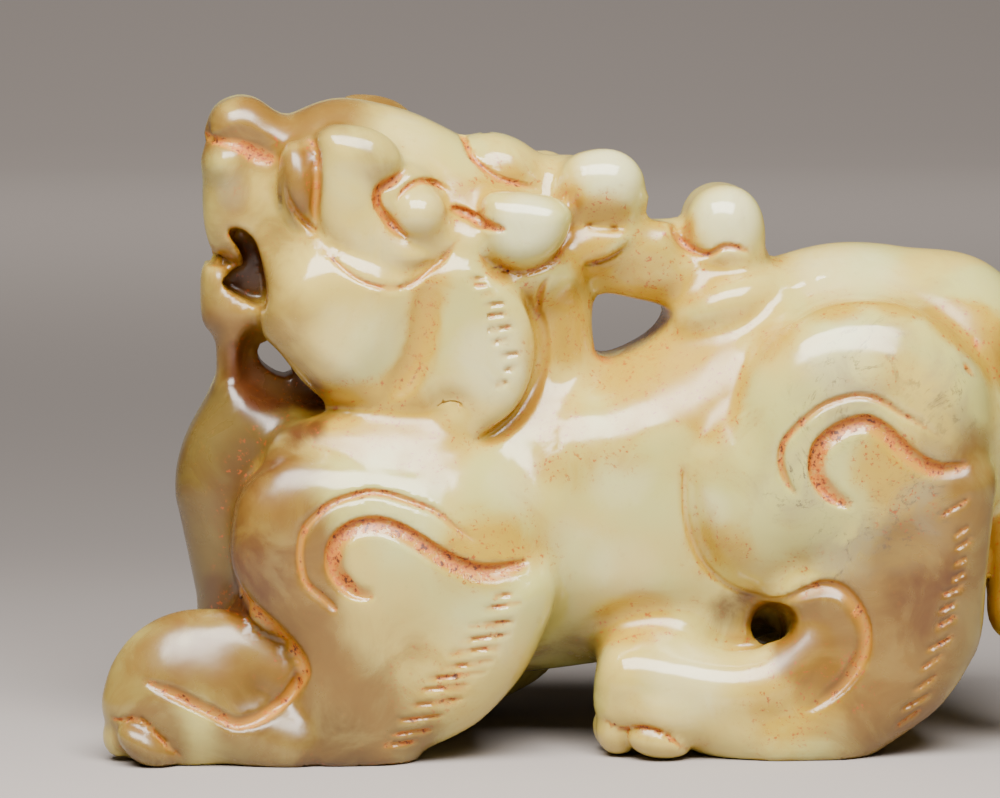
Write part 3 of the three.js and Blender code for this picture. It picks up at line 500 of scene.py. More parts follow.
def line(points, width, depth, near_of, red, ends, mirrored=None, lean=0.0):
    """A line cut into whatever lies on the near side of y = near_of, or a raised one with a depth below zero.
    Points are (x, z) or (x, z, share of the width and depth there). `ends` are the shares of its length over
    which it fades in and out. `lean` above zero widens its left bank, as seen along it, and below zero its
    right."""
    points = [point if len(point) > 2 else (*point, 1.0) for point in points]
    path = rounded(points, closed=False, spans=3)
    runs = np.diff(path, axis=0)
    sizes = np.sqrt((runs[:, :2] ** 2).sum(1))
    before = np.concatenate([[0], np.cumsum(sizes)])
    half = width / 2
    widest = half * (1 + abs(lean)) * max(path[:, 2])

    def at(p):
        flat = p[:, [0, 2]]
        best = np.full(len(p), FAR)
        share, left, full = np.zeros(len(p)), np.zeros(len(p)), np.ones(len(p))
        for a, run, size, start in zip(path, runs, sizes, before):
            off = flat - a[:2]
            t = np.clip(off @ run[:2] / (size * size), 0, 1)
            aside = off - t[:, None] * run[:2]
            gap = np.sqrt((aside * aside).sum(1))
            closer = gap < best
            best = np.where(closer, gap, best)
            share = np.where(closer, (start + t * size) / before[-1], share)
            full = np.where(closer, a[2] + t * run[2], full)
            left = np.where(closer, run[0] * off[:, 1] - run[1] * off[:, 0], left)
        fade = np.minimum(share / max(ends[0], TINY), (1 - share) / max(ends[1], TINY))
        fade = np.clip(fade, 0, 1) ** 0.5
        bank = half * np.where(left * lean > 0, 1 + abs(lean), 1)
        reach = bank * full * (TIP_WIDTH + (1 - TIP_WIDTH) * fade)
        return depth * full * fade * profile(best / reach) * (p[:, 1] < near_of)

    corners = [(x, y, z) for x, z in path[:, :2] for y in (PAST_FLANK, near_of)]
    form = Form(corners, widest, at)
    form.low[1], form.high[1] = PAST_FLANK, near_of
    lines.append((form, red))
    if mirrored:
        lines.append((mirrored(form), red))


HATCH_ENDS = (0.25, 0.25)


def hatches(inner, outer, width, depth, near_of, red, mirrored=None):
    """Short cuts side by side, each from one point of `inner` to the same one of `outer`."""
    for a, b in zip(inner, outer):
        line([a, b], width, depth, near_of, red, HATCH_ENDS, mirrored)


def shoulder_lines():
    outer = [
        (-23.3, 15.6), (-24.6, 16.9), (-26.3, 18.4), (-26.9, 20.1), (-27, 22.1), (-26.5, 24),
        (-25.1, 25.5), (-23.8, 26.4), (-22, 27), (-19.5, 27.4), (-16.2, 26.5), (-13.5, 25.4),
        (-12, 24.1), (-9.5, 22.4),
    ]
    inner = [
        (-19.7, 17.1), (-21.5, 17.3), (-23, 18.4), (-23.9, 19.7), (-24.1, 21.2), (-23.6, 22.8),
        (-22.6, 23.8), (-21.1, 24.5), (-19.1, 24.6), (-17.2, 24), (-15.3, 22.9), (-13.5, 21.7),
        (-11.6, 20.6), (-9.7, 19.9), (-7.8, 19.7), (-4.3, 20.1),
    ]
    line(outer, 1.1, 0.5, -9, 0.9, (0.04, 0.3), across_arm)
    line(inner, 1.4, 0.75, -9, 1.0, (0.12, 0.12), across_arm, lean=-1.2)
    hatches(
        [
            (-8.2, 16.9), (-8.9, 15.8), (-10.6, 14.1), (-11.4, 12.6), (-12.4, 11.3), (-13.3, 9.8),
            (-15.4, 8.7), (-16, 7.6), (-16.8, 6), (-17.7, 4.6), (-18.3, 3.2), (-19.2, 2.1),
        ],
        [
            (-5.7, 17.2), (-4.9, 16.3), (-5.7, 14.5), (-6.2, 13.2), (-7, 12), (-7.8, 10.6),
            (-8.5, 9.4), (-10.1, 8.2), (-10.8, 6.8), (-12.6, 5.1), (-13.7, 3.6), (-15.2, 2.4),
        ],
        0.64, 0.33, -11, 1.4, across_arm,
    )


def haunch_lines():
    outer = [
        (22.4, 26.7), (21.4, 28.1), (20.8, 29.9), (21, 31.9), (22.3, 33.7), (24.1, 35.3), (26, 36.3),
        (28.5, 36.8), (30.7, 36.2), (32.5, 35), (34.2, 34.1), (36, 32.8),
    ]
    inner = [
        (27.7, 25.6), (25.8, 26.5), (24.4, 27.9), (23.9, 29.6), (24.2, 31.7), (25.5, 33.1),
        (27.1, 34), (29.2, 34.4), (31, 33.5), (32.8, 31.8), (34.7, 30.3), (36.7, 29.5), (39.7, 29.6),
    ]
    line(outer, 1.0, 0.45, -9, 0.9, (0.1, 0.3), across_leg)
    line(inner, 1.4, 0.7, -9, 1.0, (0.12, 0.15), across_leg, lean=-1.2)
    hatches(
        [
            (36.4, 24.4), (38, 22.4), (38.1, 21.2), (38.1, 19.7), (37.7, 18), (36.7, 16.5),
            (36.5, 14.9), (35.9, 13.2), (35.1, 10.9), (34.6, 9), (34, 6.8), (32.9, 5), (32.5, 3.2),
        ],
        [
            (39.9, 26.5), (39.7, 23.6), (40.2, 22.3), (39.6, 20.4), (39.5, 19), (39.3, 17.6),
            (38.7, 16), (38.6, 14.6), (38.2, 12.5), (37.2, 10.7), (36.6, 8.6), (36.2, 6.7), (35.2, 5.1),
        ],
        0.62, 0.32, -11, 1.3, across_leg,
    )


def body_lines():
    ridge = [(3.4, 39.4, 0.3), (1.6, 36.2, 0.8), (-0.2, 31.6), (-1.1, 26), (-1.7, 21.5)]
    line(ridge, 4.4, -0.3, -7, 0, (0.4, 0.4))
    haunch_valley = [
        (18, 20.4, 0.4), (16.6, 23.2, 0.7), (15.7, 27.1), (15.2, 31.8), (15.7, 36.1), (17.8, 40.4),
        (21.1, 43.6), (25.9, 45.6), (31.6, 46), (37.2, 44.2), (41.2, 41, 0.7),
    ]
    line(haunch_valley, 5.2, 0.25, -7, 0.0, (0.3, 0.3), across_leg)
    knee_edge = [
        (12.8, 32.4, 0.3), (11.8, 29.5, 0.7), (11.6, 26.1), (12.1, 22.8), (13.6, 19.4), (16, 17.2),
        (18.4, 16.2), (20.4, 15.8, 0.6),
    ]
    line(knee_edge, 1.0, 0.3, -7, 0.5, (0.2, 0.2), across_leg)
    line([(2.9, 40.7), (3.8, 39.7), (5.4, 38.9)], 1.6, 0.1, -2, 5, (0.4, 0.4))
    line([(40.8, 42), (41.6, 40.4)], 0.9, 0.15, -2, 4, (0.4, 0.4))
    line([(39.2, 39.8), (40.3, 38.3)], 0.9, 0.15, -2, 2.5, (0.4, 0.4))


def paw_lines():
    hook = [
        (-42.8, 8.8, 0.5), (-41.7, 8.2, 0.8), (-39.5, 7.2), (-36.7, 5.8), (-34.3, 4.5), (-32.9, 4.2),
        (-30.7, 4.8), (-28.4, 6.3), (-26.8, 8.4), (-26.4, 9.8), (-27.2, 11.6), (-29.5, 14.2),
        (-32.1, 16.6), (-33.2, 18.4, 0.7), (-34, 20.4, 0.4),
    ]
    line(hook, 1.0, 0.6, -9, 0.7, (0.1, 0.1), across_arm, lean=1.4)
    front_toe = [(-45.9, 4.7), (-44.6, 4.6), (-42.8, 4.8), (-41.3, 3.3), (-39.6, 1.7), (-38.6, 0.8)]
    line(front_toe, 0.6, 0.3, -9, 2.0, (0.2, 0.3), across_arm)
    hind_hook = [
        (19.6, 15.9, 0.3), (21.6, 16.2, 0.6), (23.7, 17.2, 0.8), (25.6, 17.8), (27.4, 17.2),
        (28.9, 15.2), (29.6, 12.9), (29.2, 10.4), (27.6, 7.9), (25.6, 6.2), (23.3, 4.9),
    ]
    line(hind_hook, 1.1, 0.7, -10, 0.45, (0.1, 0.3), across_leg, lean=-1.6)
    hind_toe = [(3.2, 4.2), (5, 3.2), (7.2, 3.6), (9.3, 2.9), (10.9, 1.6), (12.3, 1)]
    line(hind_toe, 0.6, 0.3, -9, 2.0, (0.2, 0.3), across_leg)


def head_lines():
    nose_crease = [
        (-37, 62.2, 0.8), (-35.6, 61.8, 0.8), (-34, 61.4, 0.9), (-32.4, 61, 1.2), (-31, 60.3, 1.6),
        (-29.6, 59.8, 1.6), (-28.6, 60, 1.1),
    ]
    line(nose_crease, 1.6, 0.3, -1.5, 2.2, (0.02, 0.4), across_head)
    lid = [
        (-28.7, 58.8), (-29, 57.4), (-28.6, 55.7), (-27.7, 54), (-26.2, 52.6), (-24.4, 51.6),
        (-23.4, 50.8),
    ]
    line(lid, 1.3, -0.4, -5, 0.2, (0.35, 0.3), across_head)
    under_lid = [
        (-28, 58.4, 0.4), (-27.9, 56.6, 0.7), (-27.2, 55, 1), (-26.1, 53.7, 1.2), (-24.8, 52.6, 1.2),
    ]
    line(under_lid, 0.9, 0.5, -5, 0.5, (0.3, 0.2), across_head)
    strip = [
        (-26.4, 61.3, 0.7), (-25.5, 61.6), (-24.9, 60.6), (-24.9, 58.6), (-25, 57), (-25.2, 55),
        (-25, 53),
    ]
    line(strip, 1.1, 0.3, -5, 1.5, (0.3, 0.3), across_head)
    curl_line = [
        (-16.2, 59, 0.6), (-17.4, 57.9), (-18.9, 57.1), (-19.1, 55.8), (-18.5, 54.6), (-17.3, 53.2),
        (-15.4, 51.8, 0.6),
    ]
    line(curl_line, 1.2, 0.5, -7, 1.5, (0.15, 0.25), across_head)
    curl_top = [(-11.4, 56.2, 0.5), (-12.8, 57.3), (-14.6, 57.8), (-16.2, 57.1), (-17.3, 55.8, 0.8)]
    line(curl_top, 0.9, 0.4, -7, 1.4, (0.3, 0.3), across_head)
    brow_foot = [
        (-24.6, 51.6), (-23.3, 50), (-21.6, 48.6), (-19.8, 47.7), (-17.7, 47.3), (-15.6, 47.7),
        (-13.6, 49.1), (-12, 50.6), (-10.8, 52.4),
    ]
    line(brow_foot, 0.7, 0.3, -6, 1.4, (0.15, 0.15), across_head)
    ear_cut = [(-11.6, 55), (-10.4, 54.6), (-9.4, 54.1), (-8.2, 53.5, 1.1), (-6.2, 53, 0.8)]
    line(ear_cut, 1.3, 0.9, -7, 1.0, (0.2, 0.4), across_head)
    ear_foot = [(-8.9, 50.6), (-7.6, 49.4), (-4.9, 48.5), (-2, 49.3), (-0.1, 51.1), (0.9, 53.4)]
    line(ear_foot, 0.8, 0.35, -6, 1.4, (0.2, 0.2), across_head)
    hatches(
        [
            (-10.3, 48.1), (-9.6, 47.5), (-9, 46.5), (-8.8, 45.4), (-8.6, 44.3), (-8.4, 42.9),
            (-7.9, 41.7), (-7.2, 40.3), (-6.6, 38.9), (-7.7, 37.5),
        ],
        [
            (-8.3, 48.1), (-8.1, 47.5), (-7.2, 46.7), (-6.2, 45.7), (-6, 44.7), (-5.5, 43.4),
            (-5.7, 42.1), (-4.8, 40.7), (-5, 39.3), (-5.9, 37.8),
        ],
        0.68, 0.35, -8, 0.8, across_head,
    )
    cheek_edge = [
        (-13.4, 49, 0.6), (-14, 46.6), (-14.4, 43.4), (-15.4, 40), (-17, 37.4), (-19, 35.6, 0.6),
    ]
    line(cheek_edge, 3.4, 0.5, -6, 0.25, (0.3, 0.3), across_head)
    lock_edge = [
        (-4.6, 47, 0.6), (-2.8, 43.8), (-2.2, 40.6), (-3, 37.2), (-4.8, 34.2), (-7.2, 32.2),
        (-9.6, 31.8, 0.6),
    ]
    line(lock_edge, 2.2, 0.5, -6, 0.15, (0.2, 0.2), across_head)
    neck = [(-1.6, 48.4, 0.5), (-2.4, 47.2), (-2.8, 45.6), (-2.7, 43.6)]
    line(neck, 1.0, 0.4, -5, 0.8, (0.3, 0.4), across_head)
    crown = [(-10.1, 62.8), (-9.7, 61.1), (-9, 59.6), (-7, 58), (-4.8, 57.2), (-2.4, 56.6)]
    line(crown, 0.9, 0.4, -1, 1.5, (0.05, 0.4), across_head)


def horn_lines():
    line([(2.2, 53.1), (3.4, 52.9), (4.6, 52.7), (5.8, 52.7)], 0.7, 0.4, -2, 0.8, (0.3, 0.3), across)
    line([(1.8, 49.1), (3.4, 49.3), (4.8, 49.8), (6.2, 50.8)], 0.8, 0.35, -2, 0.7, (0.3, 0.3), across)
    second = [
        (10.8, 53, 0.7), (11.4, 52), (12.4, 51), (13.4, 50.3), (14.9, 50), (16.4, 50.8), (17.9, 50.6),
        (19.3, 50, 0.6),
    ]
    line(second, 1.0, 0.5, -1, 1.4, (0.2, 0.3), across)


for carve in (shoulder_lines, haunch_lines, body_lines, paw_lines, head_lines, horn_lines):
    carve()


def carved(p, near_lines):
    """How deep the carved lines are at points, and how red they are there."""
    depth, red = np.zeros(len(p)), np.zeros(len(p))
    for form, hue in near_lines:
        near = ((p > form.low) & (p < form.high)).all(1)
        if near.any():
            here = form.at(p[near])
            raised = depth[near] + np.minimum(here, 0)
            depth[near] = np.where(here < 0, raised, np.maximum(depth[near], here))
            red[near] = np.maximum(red[near], hue * here)
    return depth, red


# The skin.

PROBE = 0.02  # step over which the field's slope is measured
LEAST_SLOPE = 0.25  # a flatter field than this doesn't move a point further
NET_PITCH = 0.78
FINE_PLACES = [((-43, -13, 3), 5), ((6, -15, 3), 5.5), ((-30, -5, 57), 9), ((-16, -11, 54), 7)]
# For each halving of the net: its reach round a cut, the depth of cut that it's for, and fine places.
FINER = [(0.3, 0.06, FINE_PLACES), (0.0, 0.18, ())]
PATCH = 11.0  # points are worked on in patches of this size, each with only the forms that lie near it
NEARBY = 4.5  # a form further than this from a patch doesn't matter to it
INSET = 100.0  # added to each coordinate, so that every patch counts from zero
PER_SIDE = 100  # more patches than this never lie in a row


def patches(p):
    """Each patch as the numbers of its points, and the box round them."""
    cell = np.floor((p + INSET) / PATCH).astype(int)
    key = (cell[:, 0] * PER_SIDE + cell[:, 1]) * PER_SIDE + cell[:, 2]
    order = np.argsort(key, kind="stable")
    for ids in np.split(order, np.flatnonzero(np.diff(key[order])) + 1):
        yield ids, p[ids].min(0), p[ids].max(0)


def lies_near(form, low, high):
    gap = np.maximum(np.maximum(form.low - high, low - form.high), 0)
    return gap @ gap < NEARBY * NEARBY


def settled(p, with_lines=False, passes=2, reach=0.3):
    """Points moved along the slope of the figure's field to where it is zero."""
    p = p.copy()
    for ids, low, high in patches(p):
        near_steps = [step for step in steps if lies_near(step[0], low, high)]
        near_lines = [row for row in lines if with_lines and lies_near(row[0], low, high)]

        def field(q):
            return figure(q, near_steps) + carved(q, near_lines)[0]

        q = p[ids]
        for _ in range(passes):
            here = field(q)
            slope = np.stack([(field(q + PROBE * axis) - here) / PROBE for axis in np.eye(3)], 1)
            size = np.maximum((slope * slope).sum(1), LEAST_SLOPE)
            q = q - np.clip(here / size, -reach, reach)[:, None] * slope
        p[ids] = q
    return p


def edges_of(mesh):
    ends = np.empty(2 * len(mesh.edges), np.int32)
    mesh.edges.foreach_get("vertices", ends)
    return ends.reshape(-1, 2)


def vectors_of(items, name):
    flat = np.empty(3 * len(items))
    items.foreach_get(name, flat)
    return flat.reshape(-1, 3)


def points_of(mesh):
    return vectors_of(mesh.vertices, "co") / MM + CENTRE


def place(mesh, p):
    mesh.vertices.foreach_set("co", ((p - CENTRE) * MM).ravel())
    mesh.update()


def even_out(mesh, share=0.5):
    """Points moved over the skin towards the middle of their neighbours."""
    p, edges = points_of(mesh), edges_of(mesh)
    normal = vectors_of(mesh.vertex_normals, "vector")
    count = np.maximum(np.bincount(edges.ravel(), minlength=len(p)), 1)
    a, b = edges.T
    total = [np.bincount(a, p[b, k], len(p)) + np.bincount(b, p[a, k], len(p)) for k in range(3)]
    move = share * (np.stack(total, 1) / count[:, None] - p)
    place(mesh, p + move - (move * normal).sum(1)[:, None] * normal)


def renetted(beast, pitch):
    """The piece's skin as one even net."""
    net = beast.modifiers.new("net", "REMESH")
    net.mode = "VOXEL"
    net.voxel_size = pitch * MM
    even = bpy.data.meshes.new_from_object(beast.evaluated_get(bpy.context.evaluated_depsgraph_get()))
    beast.modifiers.clear()
    beast.data = even
    return even


SAME_POINT = 1e-6  # corners closer than this, in metres, are one


def rough_block():
    """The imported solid's skin, merged, as a new piece."""
    bm = bmesh.new()
    bm.from_mesh(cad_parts["qilin"].data)
    bmesh.ops.remove_doubles(bm, verts=bm.verts, dist=SAME_POINT)
    mesh = bpy.data.meshes.new("jade_beast")
    bm.to_mesh(mesh)
    bm.free()
    beast = bpy.data.objects.new("jade_beast", mesh)
    bpy.context.collection.objects.link(beast)
    return beast


def finer(mesh, reach, depth, places):
    """The net is halved in those places and wherever so deep a cut runs within reach, and settled again."""
    p, ends = points_of(mesh), edges_of(mesh)
    around = reach * np.array([[0, 0, 0], [1, 0, 0], [-1, 0, 0], [0, 0, 1], [0, 0, -1]])
    near = np.any([carved(p + step, lines)[0] > depth for step in around], axis=0)
    for centre, radius in places:
        near |= ((p - centre) ** 2).sum(1) < radius**2
    busy = np.flatnonzero(near[ends].any(1))
    bm = bmesh.new()
    bm.from_mesh(mesh)
    bm.edges.ensure_lookup_table()
    bmesh.ops.subdivide_edges(bm, edges=[bm.edges[i] for i in busy], cuts=1, use_grid_fill=True)
    bmesh.ops.triangulate(bm, faces=[f for f in bm.faces if len(f.verts) > 4])
    bm.to_mesh(mesh)
    bm.free()
    for _ in range(2):
        even_out(mesh)
        place(mesh, settled(points_of(mesh), with_lines=True))


def beast_skin():
    beast = rough_block()
    mesh = renetted(beast, NET_PITCH)
    for with_lines in (False, False, False, True, True):
        even_out(mesh)
        place(mesh, settled(points_of(mesh), with_lines))
    for reach, depth, places in FINER:
        finer(mesh, reach, depth, places)
    mesh.polygons.foreach_set("use_smooth", np.ones(len(mesh.polygons), bool))
    return beast


# Colour and finish. A stain, a painted shade or a painted highlight has its middle, its reach and its
# strength.

# Brown-yellow stone tone, and painted shade on the lower and front parts and under the body.
TAN_AND_SHADE = [
    ((-33, -3, 63), 6, 0.9), ((-34.5, -4, 57.5), 7, 0.4), ((-30, -8, 52), 8, 0.5),
    ((-34, -5, 46), 7, 0.7), ((-33.5, -3, 40), 6, 1.0), ((-25, -6, 64), 9, 1.0),
    ((-19, 8, 64), 9, 1.0), ((-26.8, -10.5, 57.5), 4, 1.0), ((-17.5, -12.5, 60), 5, 0.5),
    ((-22, -12, 62), 4, 0.2), ((-28, -11, 44), 6, 0.7), ((-24.5, -12, 39), 4, 0.5),
    ((-30, -13, 27), 10, 1.0), ((-29, -15, 21), 9, 1.0), ((-29, -17, 14), 10, 1.0),
    ((-26, -18, 20), 5, 0.4), ((-37, -13, 12), 8, 0.8), ((-33, -15, 8), 7, 0.8),
    ((-43, -15, 7), 8, 0.9), ((-41, -16, 2), 5, 0.9), ((-30, -17, 3), 8, 1.0),
    ((-24, -18, 6), 8, 0.9), ((-18, -18, 2), 8, 0.8), ((-30, -17, 8), 7, 0.8),
    ((-38, -10, 14), 6, 0.7), ((42, -16, 24), 6, 0.7), ((43, -8, 38), 7, 0.9),
    ((41, -17, 30), 5, 0.5), ((31, -17, 2), 9, 0.7), ((37, -18, 13), 9, 1.0), ((38, -18, 21), 9, 1.0),
    ((32, -18, 18), 8, 0.9), ((26, -17, 13), 7, 1.0), ((33, -18, 6), 7, 0.7), ((24, -17, 9), 5, 0.7),
    ((36, -12, 42), 6, 0.3), ((8, -16, 2), 4, 0.3), ((20, -12, 15), 4, 1.0), ((-31, 14, 26), 10, 0.9),
    ((-26, 16, 8), 12, 0.9), ((40, 16, 26), 12, 0.8), ((20, 16, 6), 10, 0.6),
    ((-17, -18, 12), 6, 0.35), ((23, -17, 12), 5, 0.6), ((38, -18, 31), 6, 0.5),
    ((-24, -18, 2), 7, 0.6),
]
# Brown-green stone tone on the chest, and painted shade under the belly and on the low front parts.
OLIVE_AND_SHADE = [
    ((-34, -7, 34), 7, 0.9), ((-37, -5, 28), 8, 1.0), ((-36, -6, 21), 8, 1.0),
    ((-34.5, -7, 14), 7, 1.0), ((-29.5, -8, 35), 6, 0.8), ((-37, 4, 24), 10, 1.0),
    ((-36, 4, 12), 8, 0.9), ((-10, 0, 7), 14, 0.9), ((2, -10, 9), 7, 0.5), ((18, 0, 9), 12, 0.9),
    ((-36, 0, 30), 9, 0.9), ((31, -18, 22), 5, 0.4), ((-24, -18, 1.5), 6, 0.6),
    ((-31, -17, 5.7), 5, 0.4),
]
HONEY = [
    ((-13.8, -12.5, 47.5), 3, 0.6), ((-14.2, -12.5, 45), 2.8, 0.7), ((-14.4, -12.5, 42.4), 2.8, 0.7),
    ((-15.2, -12.5, 40), 2.8, 0.7), ((-16.6, -12, 37.8), 3, 0.7), ((0.5, -8, 43), 5, 0.9),
    ((-18, -12, 35), 5, 0.7), ((-9.5, -9, 55), 4, 0.8), ((-6, -8, 58), 4, 0.7),
    ((4, -7, 54), 3.5, 0.8), ((2, -7, 50), 4, 0.9), ((10, -6, 52), 4, 0.5), ((8, -6, 47), 5, 0.6),
    ((14, -6, 47), 4, 0.5), ((9, -9, 38), 8, 0.9), ((6, -12, 31), 4, 0.5), ((14, -12, 38), 6, 1.0),
    ((19, -14, 43.5), 5, 1.0), ((26, -14, 47), 5, 1.0), ((33, -14, 47.5), 5, 1.0),
    ((39, -14, 44.5), 5, 1.0), ((43, -11, 41), 6, 0.9), ((15.5, -12, 33), 4, 1.0),
    ((15.3, -12, 27), 4, 1.0), ((17, -14, 22), 4, 0.8), ((7, -12, 13), 5, 0.8),
    ((12, -14, 20), 4, 0.4), ((22, -17, 6), 7, 0.8), ((28, -18, 8), 5, 0.6), ((-10, -18, 20), 5, 0.4),
    ((-14, -18, 8), 7, 0.4), ((-4, -14, 22), 5, 0.3), ((31, -19, 30), 5, 1.0),
    ((33, -19, 25), 5, 0.6), ((-22, -12, 33.5), 6, 0.8), ((-14, -14, 31), 5, 0.5),
    ((-1, -13, 36), 5, 0.8), ((0, -13, 30), 5, 0.5), ((-2, -13, 41), 4, 0.8), ((0, 12, 40), 14, 0.6),
    ((20, 14, 44), 12, 0.6), ((-14, 14, 40), 8, 0.5), ((-9, -17, 22), 6, 0.6),
    ((31, -18, 40), 5, 0.4), ((15, -13, 24), 4, 0.6), ((40, -12, 43), 5, 0.8),
]
GREY = [
    ((26, -19, 36), 6, 0.7), ((22, -18, 28), 5, 1.0), ((38, -18, 37), 6, 0.7),
    ((27, -19, 21), 5, 0.9), ((33, -19, 24), 6, 0.7), ((30, -18, 41), 6, 0.5),
    ((35, -19, 29), 4, 0.6), ((26, 18, 32), 9, 0.5),
]
# Painted shade: dark brown in the mouth, beard recess, knee hole, under the paws and on low parts.
UMBER_SHADE = [
    ((-31, -6, 38.5), 5, 0.9), ((-27, -12.5, 35), 4.5, 1.0), ((-30.4, -9, 35.6), 4, 0.8),
    ((-31.5, 0, 48), 5, 0.9), ((-30, 6, 37), 6, 0.8), ((20.8, -9, 12), 5, 0.5),
    ((-12.6, -11, 34.2), 2.4, 0.5), ((-32.6, -11, 17), 4.5, 0.7), ((21, 9, 12), 6, 0.9),
    ((-35, -7, 15), 4, 0.6), ((17, -12, 14.5), 3.4, 0.6), ((-28.5, -3.5, 36.4), 4.5, 1.0),
    ((-24.8, -4, 35.6), 3, 0.9), ((-31.5, -15, 19.5), 7, 0.65), ((36, -18, 16), 7, 0.55),
    ((-30.3, -13, 28), 6, 0.5), ((-36, -5, 26), 7, 0.3), ((-17, -18, 11), 5, 0.2),
]
# Whitish stone tone, and painted highlights on the facet by the ear, the lip, the ear, horn tops and haunch.
PALE_AND_HIGHLIGHT = [
    ((-9.8, -10, 52), 2.4, 0.67), ((-33.6, -7, 56.4), 2.6, 0.6), ((-21.5, -13, 42), 6, 0.5),
    ((-7.5, -13, 40), 6, 0.67), ((-4, -13, 53.5), 4.4, 1.0), ((16.8, -6, 54), 5, 1.0),
    ((4.4, -7, 58.6), 4.6, 1.0), ((27, -18, 41), 6, 0.6), ((29, -8, 50.5), 9, 0.6),
    ((42, -4, 44), 6, 0.47), ((5, -14, 28), 5, 0.47), ((0, -14, 20), 6, 0.4), ((6, -13, 19), 5, 0.47),
    ((-17, -18, 24), 6, 0.47), ((-9, -18, 14), 6, 0.4), ((11.5, -17, 8), 6, 0.67),
    ((13.6, -16, 25), 3.4, 0.6), ((20, -17, 9), 4, 0.47), ((-15, -12, 54.5), 3.6, 0.47),
    ((-19, -13, 51.5), 4, 0.34), ((-16, -8, 62), 6, 0.4), ((-6, -14, 27), 5, 0.4),
    ((26.6, -19, 30), 3, 0.27), ((45, -9, 22), 6, 0.47), ((-22, -13, 58), 4, 0.27),
]
STAINS_AND_PAINTED_LIGHT = {"tan": TAN_AND_SHADE, "olive_and_shade": OLIVE_AND_SHADE, "honey": HONEY, "grey": GREY, "umber_shade": UMBER_SHADE, "pale_and_highlight": PALE_AND_HIGHLIGHT}
RECESS_SHADE_REACH = 2.4  # how far out from the skin the open air is felt for, to find the recesses where shade is painted
BLEND_RGBA = (6, 7, 2)  # sockets of a colour blend: its two colours and its result


def put(mesh, name, values):
    layer = mesh.attributes.new(name, "FLOAT", "POINT")
    layer.data.foreach_set("value", np.ascontiguousarray(values, np.float32))


def stain_and_light_strength(p, stains_and_light):
    """How strong a stain, painted shade or painted highlight is at points, from 0 to 1."""
    total = np.zeros(len(p))
    for middle, reach, strength in stains_and_light:
        off = p - middle
        t = np.clip(1 - (off * off).sum(1) / (reach * reach), 0, 1)
        total += strength * t * t * (3 - 2 * t)
    return np.minimum(total, 1)


def tinted(mesh):
    """Each point told how deeply recessed it is, for painted shade, its residue, and each stain, painted
    shade and highlight.
    """
    p = points_of(mesh)
    normal = vectors_of(mesh.vertex_normals, "vector")
    recess_shade, residue = np.zeros(len(p)), np.zeros(len(p))
    for ids, low, high in patches(p):
        near_steps = [step for step in steps if lies_near(step[0], low, high)]
        near_lines = [row for row in lines if lies_near(row[0], low, high)]
        q, out = p[ids], normal[ids]
        open_sky = figure(q + RECESS_SHADE_REACH * out, near_steps) / RECESS_SHADE_REACH
        recess_shade[ids] = np.clip(1 - open_sky, 0, 1)
        residue[ids] = carved(q, near_lines)[1]
    put(mesh, "recess_shade", recess_shade)
    put(mesh, "residue", residue)
    for name, stains_and_light in STAINS_AND_PAINTED_LIGHT.items():
        put(mesh, name, stain_and_light_strength(p, stains_and_light))


class Finish:
    """A material that is built up node by node."""

    def __init__(self, name):
        self.material = bpy.data.materials.new(name)
        self.material.use_nodes = True
        self.tree = self.material.node_tree
        self.shader = self.tree.nodes["Principled BSDF"]

    def feed(self, node, socket, value):
        if isinstance(value, bpy.types.NodeSocket):
            self.tree.links.new(value, node.inputs[socket])
        else:
            node.inputs[socket].default_value = value

    def node(self, kind, feeds, out=0, **settings):
        node = self.tree.nodes.new("ShaderNode" + kind)
        for key, value in settings.items():
            setattr(node, key, value)
        for socket, value in feeds.items():
            self.feed(node, socket, value)
        return node.outputs[out]

    def place(self):
        return self.node("TexCoord", {}, "Object")

    def painted(self, name):
        return self.node("Attribute", {}, "Fac", attribute_name=name)

    def cloud(self, place, scale, detail=3.0, twist=0.0, rough=0.5):
        feeds = {"Vector": place, "Scale": scale, "Detail": detail, "Roughness": rough, "Distortion": twist}
        return self.node("TexNoise", feeds)

    def sum_of(self, a, b):
        return self.node("Math", {0: a, 1: b}, operation="ADD")

    def times(self, a, b):
        return self.node("Math", {0: a, 1: b}, operation="MULTIPLY")

    def ramp(self, value, low, high, bottom=0.0, top=1.0):
        feeds = {"Value": value, "From Min": low, "From Max": high, "To Min": bottom, "To Max": top}
        return self.node("MapRange", feeds, interpolation_type="SMOOTHSTEP")

    def over(self, share, under, colour):
        a, b, result = BLEND_RGBA
        return self.node("Mix", {0: share, a: under, b: colour}, result, data_type="RGBA")


def shade(red, green, blue):
    """A colour as it's seen, for a socket."""
    linear = [(v / 255 / 12.92) if v < 11 else ((v / 255 + 0.055) / 1.055) ** 2.4 for v in (red, green, blue)]
    return (*linear, 1)


GREEN_STONE, CREAM_STONE, WHITE_STONE_AND_HIGHLIGHT = shade(192, 186, 108), shade(202, 178, 92), shade(222, 220, 170)
HONEY_TINT, RECESS_SHADE_BROWN, TAN_SKIN_AND_SHADE = shade(184, 146, 34), shade(146, 92, 24), shade(112, 72, 18)
OLIVE_SKIN_AND_SHADE, PAINTED_SHADE_UMBER, GREY_CLOUD = shade(84, 60, 22), shade(80, 36, 14), shade(158, 144, 104)
VEIN_BROWN, SPECK_BROWN, BANK_OCHRE = shade(84, 70, 60), shade(168, 78, 24), shade(196, 136, 46)
RUST_ORANGE, RUST_RED, RUST_DARK = shade(198, 116, 10), shade(176, 80, 8), shade(84, 30, 6)


def stain_and_shade_mask(jade, wisps, name):
    """An attribute mask of stain and painted shade, whose edge is torn by the stone's wisps."""
    return jade.sum_of(jade.painted(name), jade.ramp(wisps, 0.3, 0.7, -0.15, 0.15))


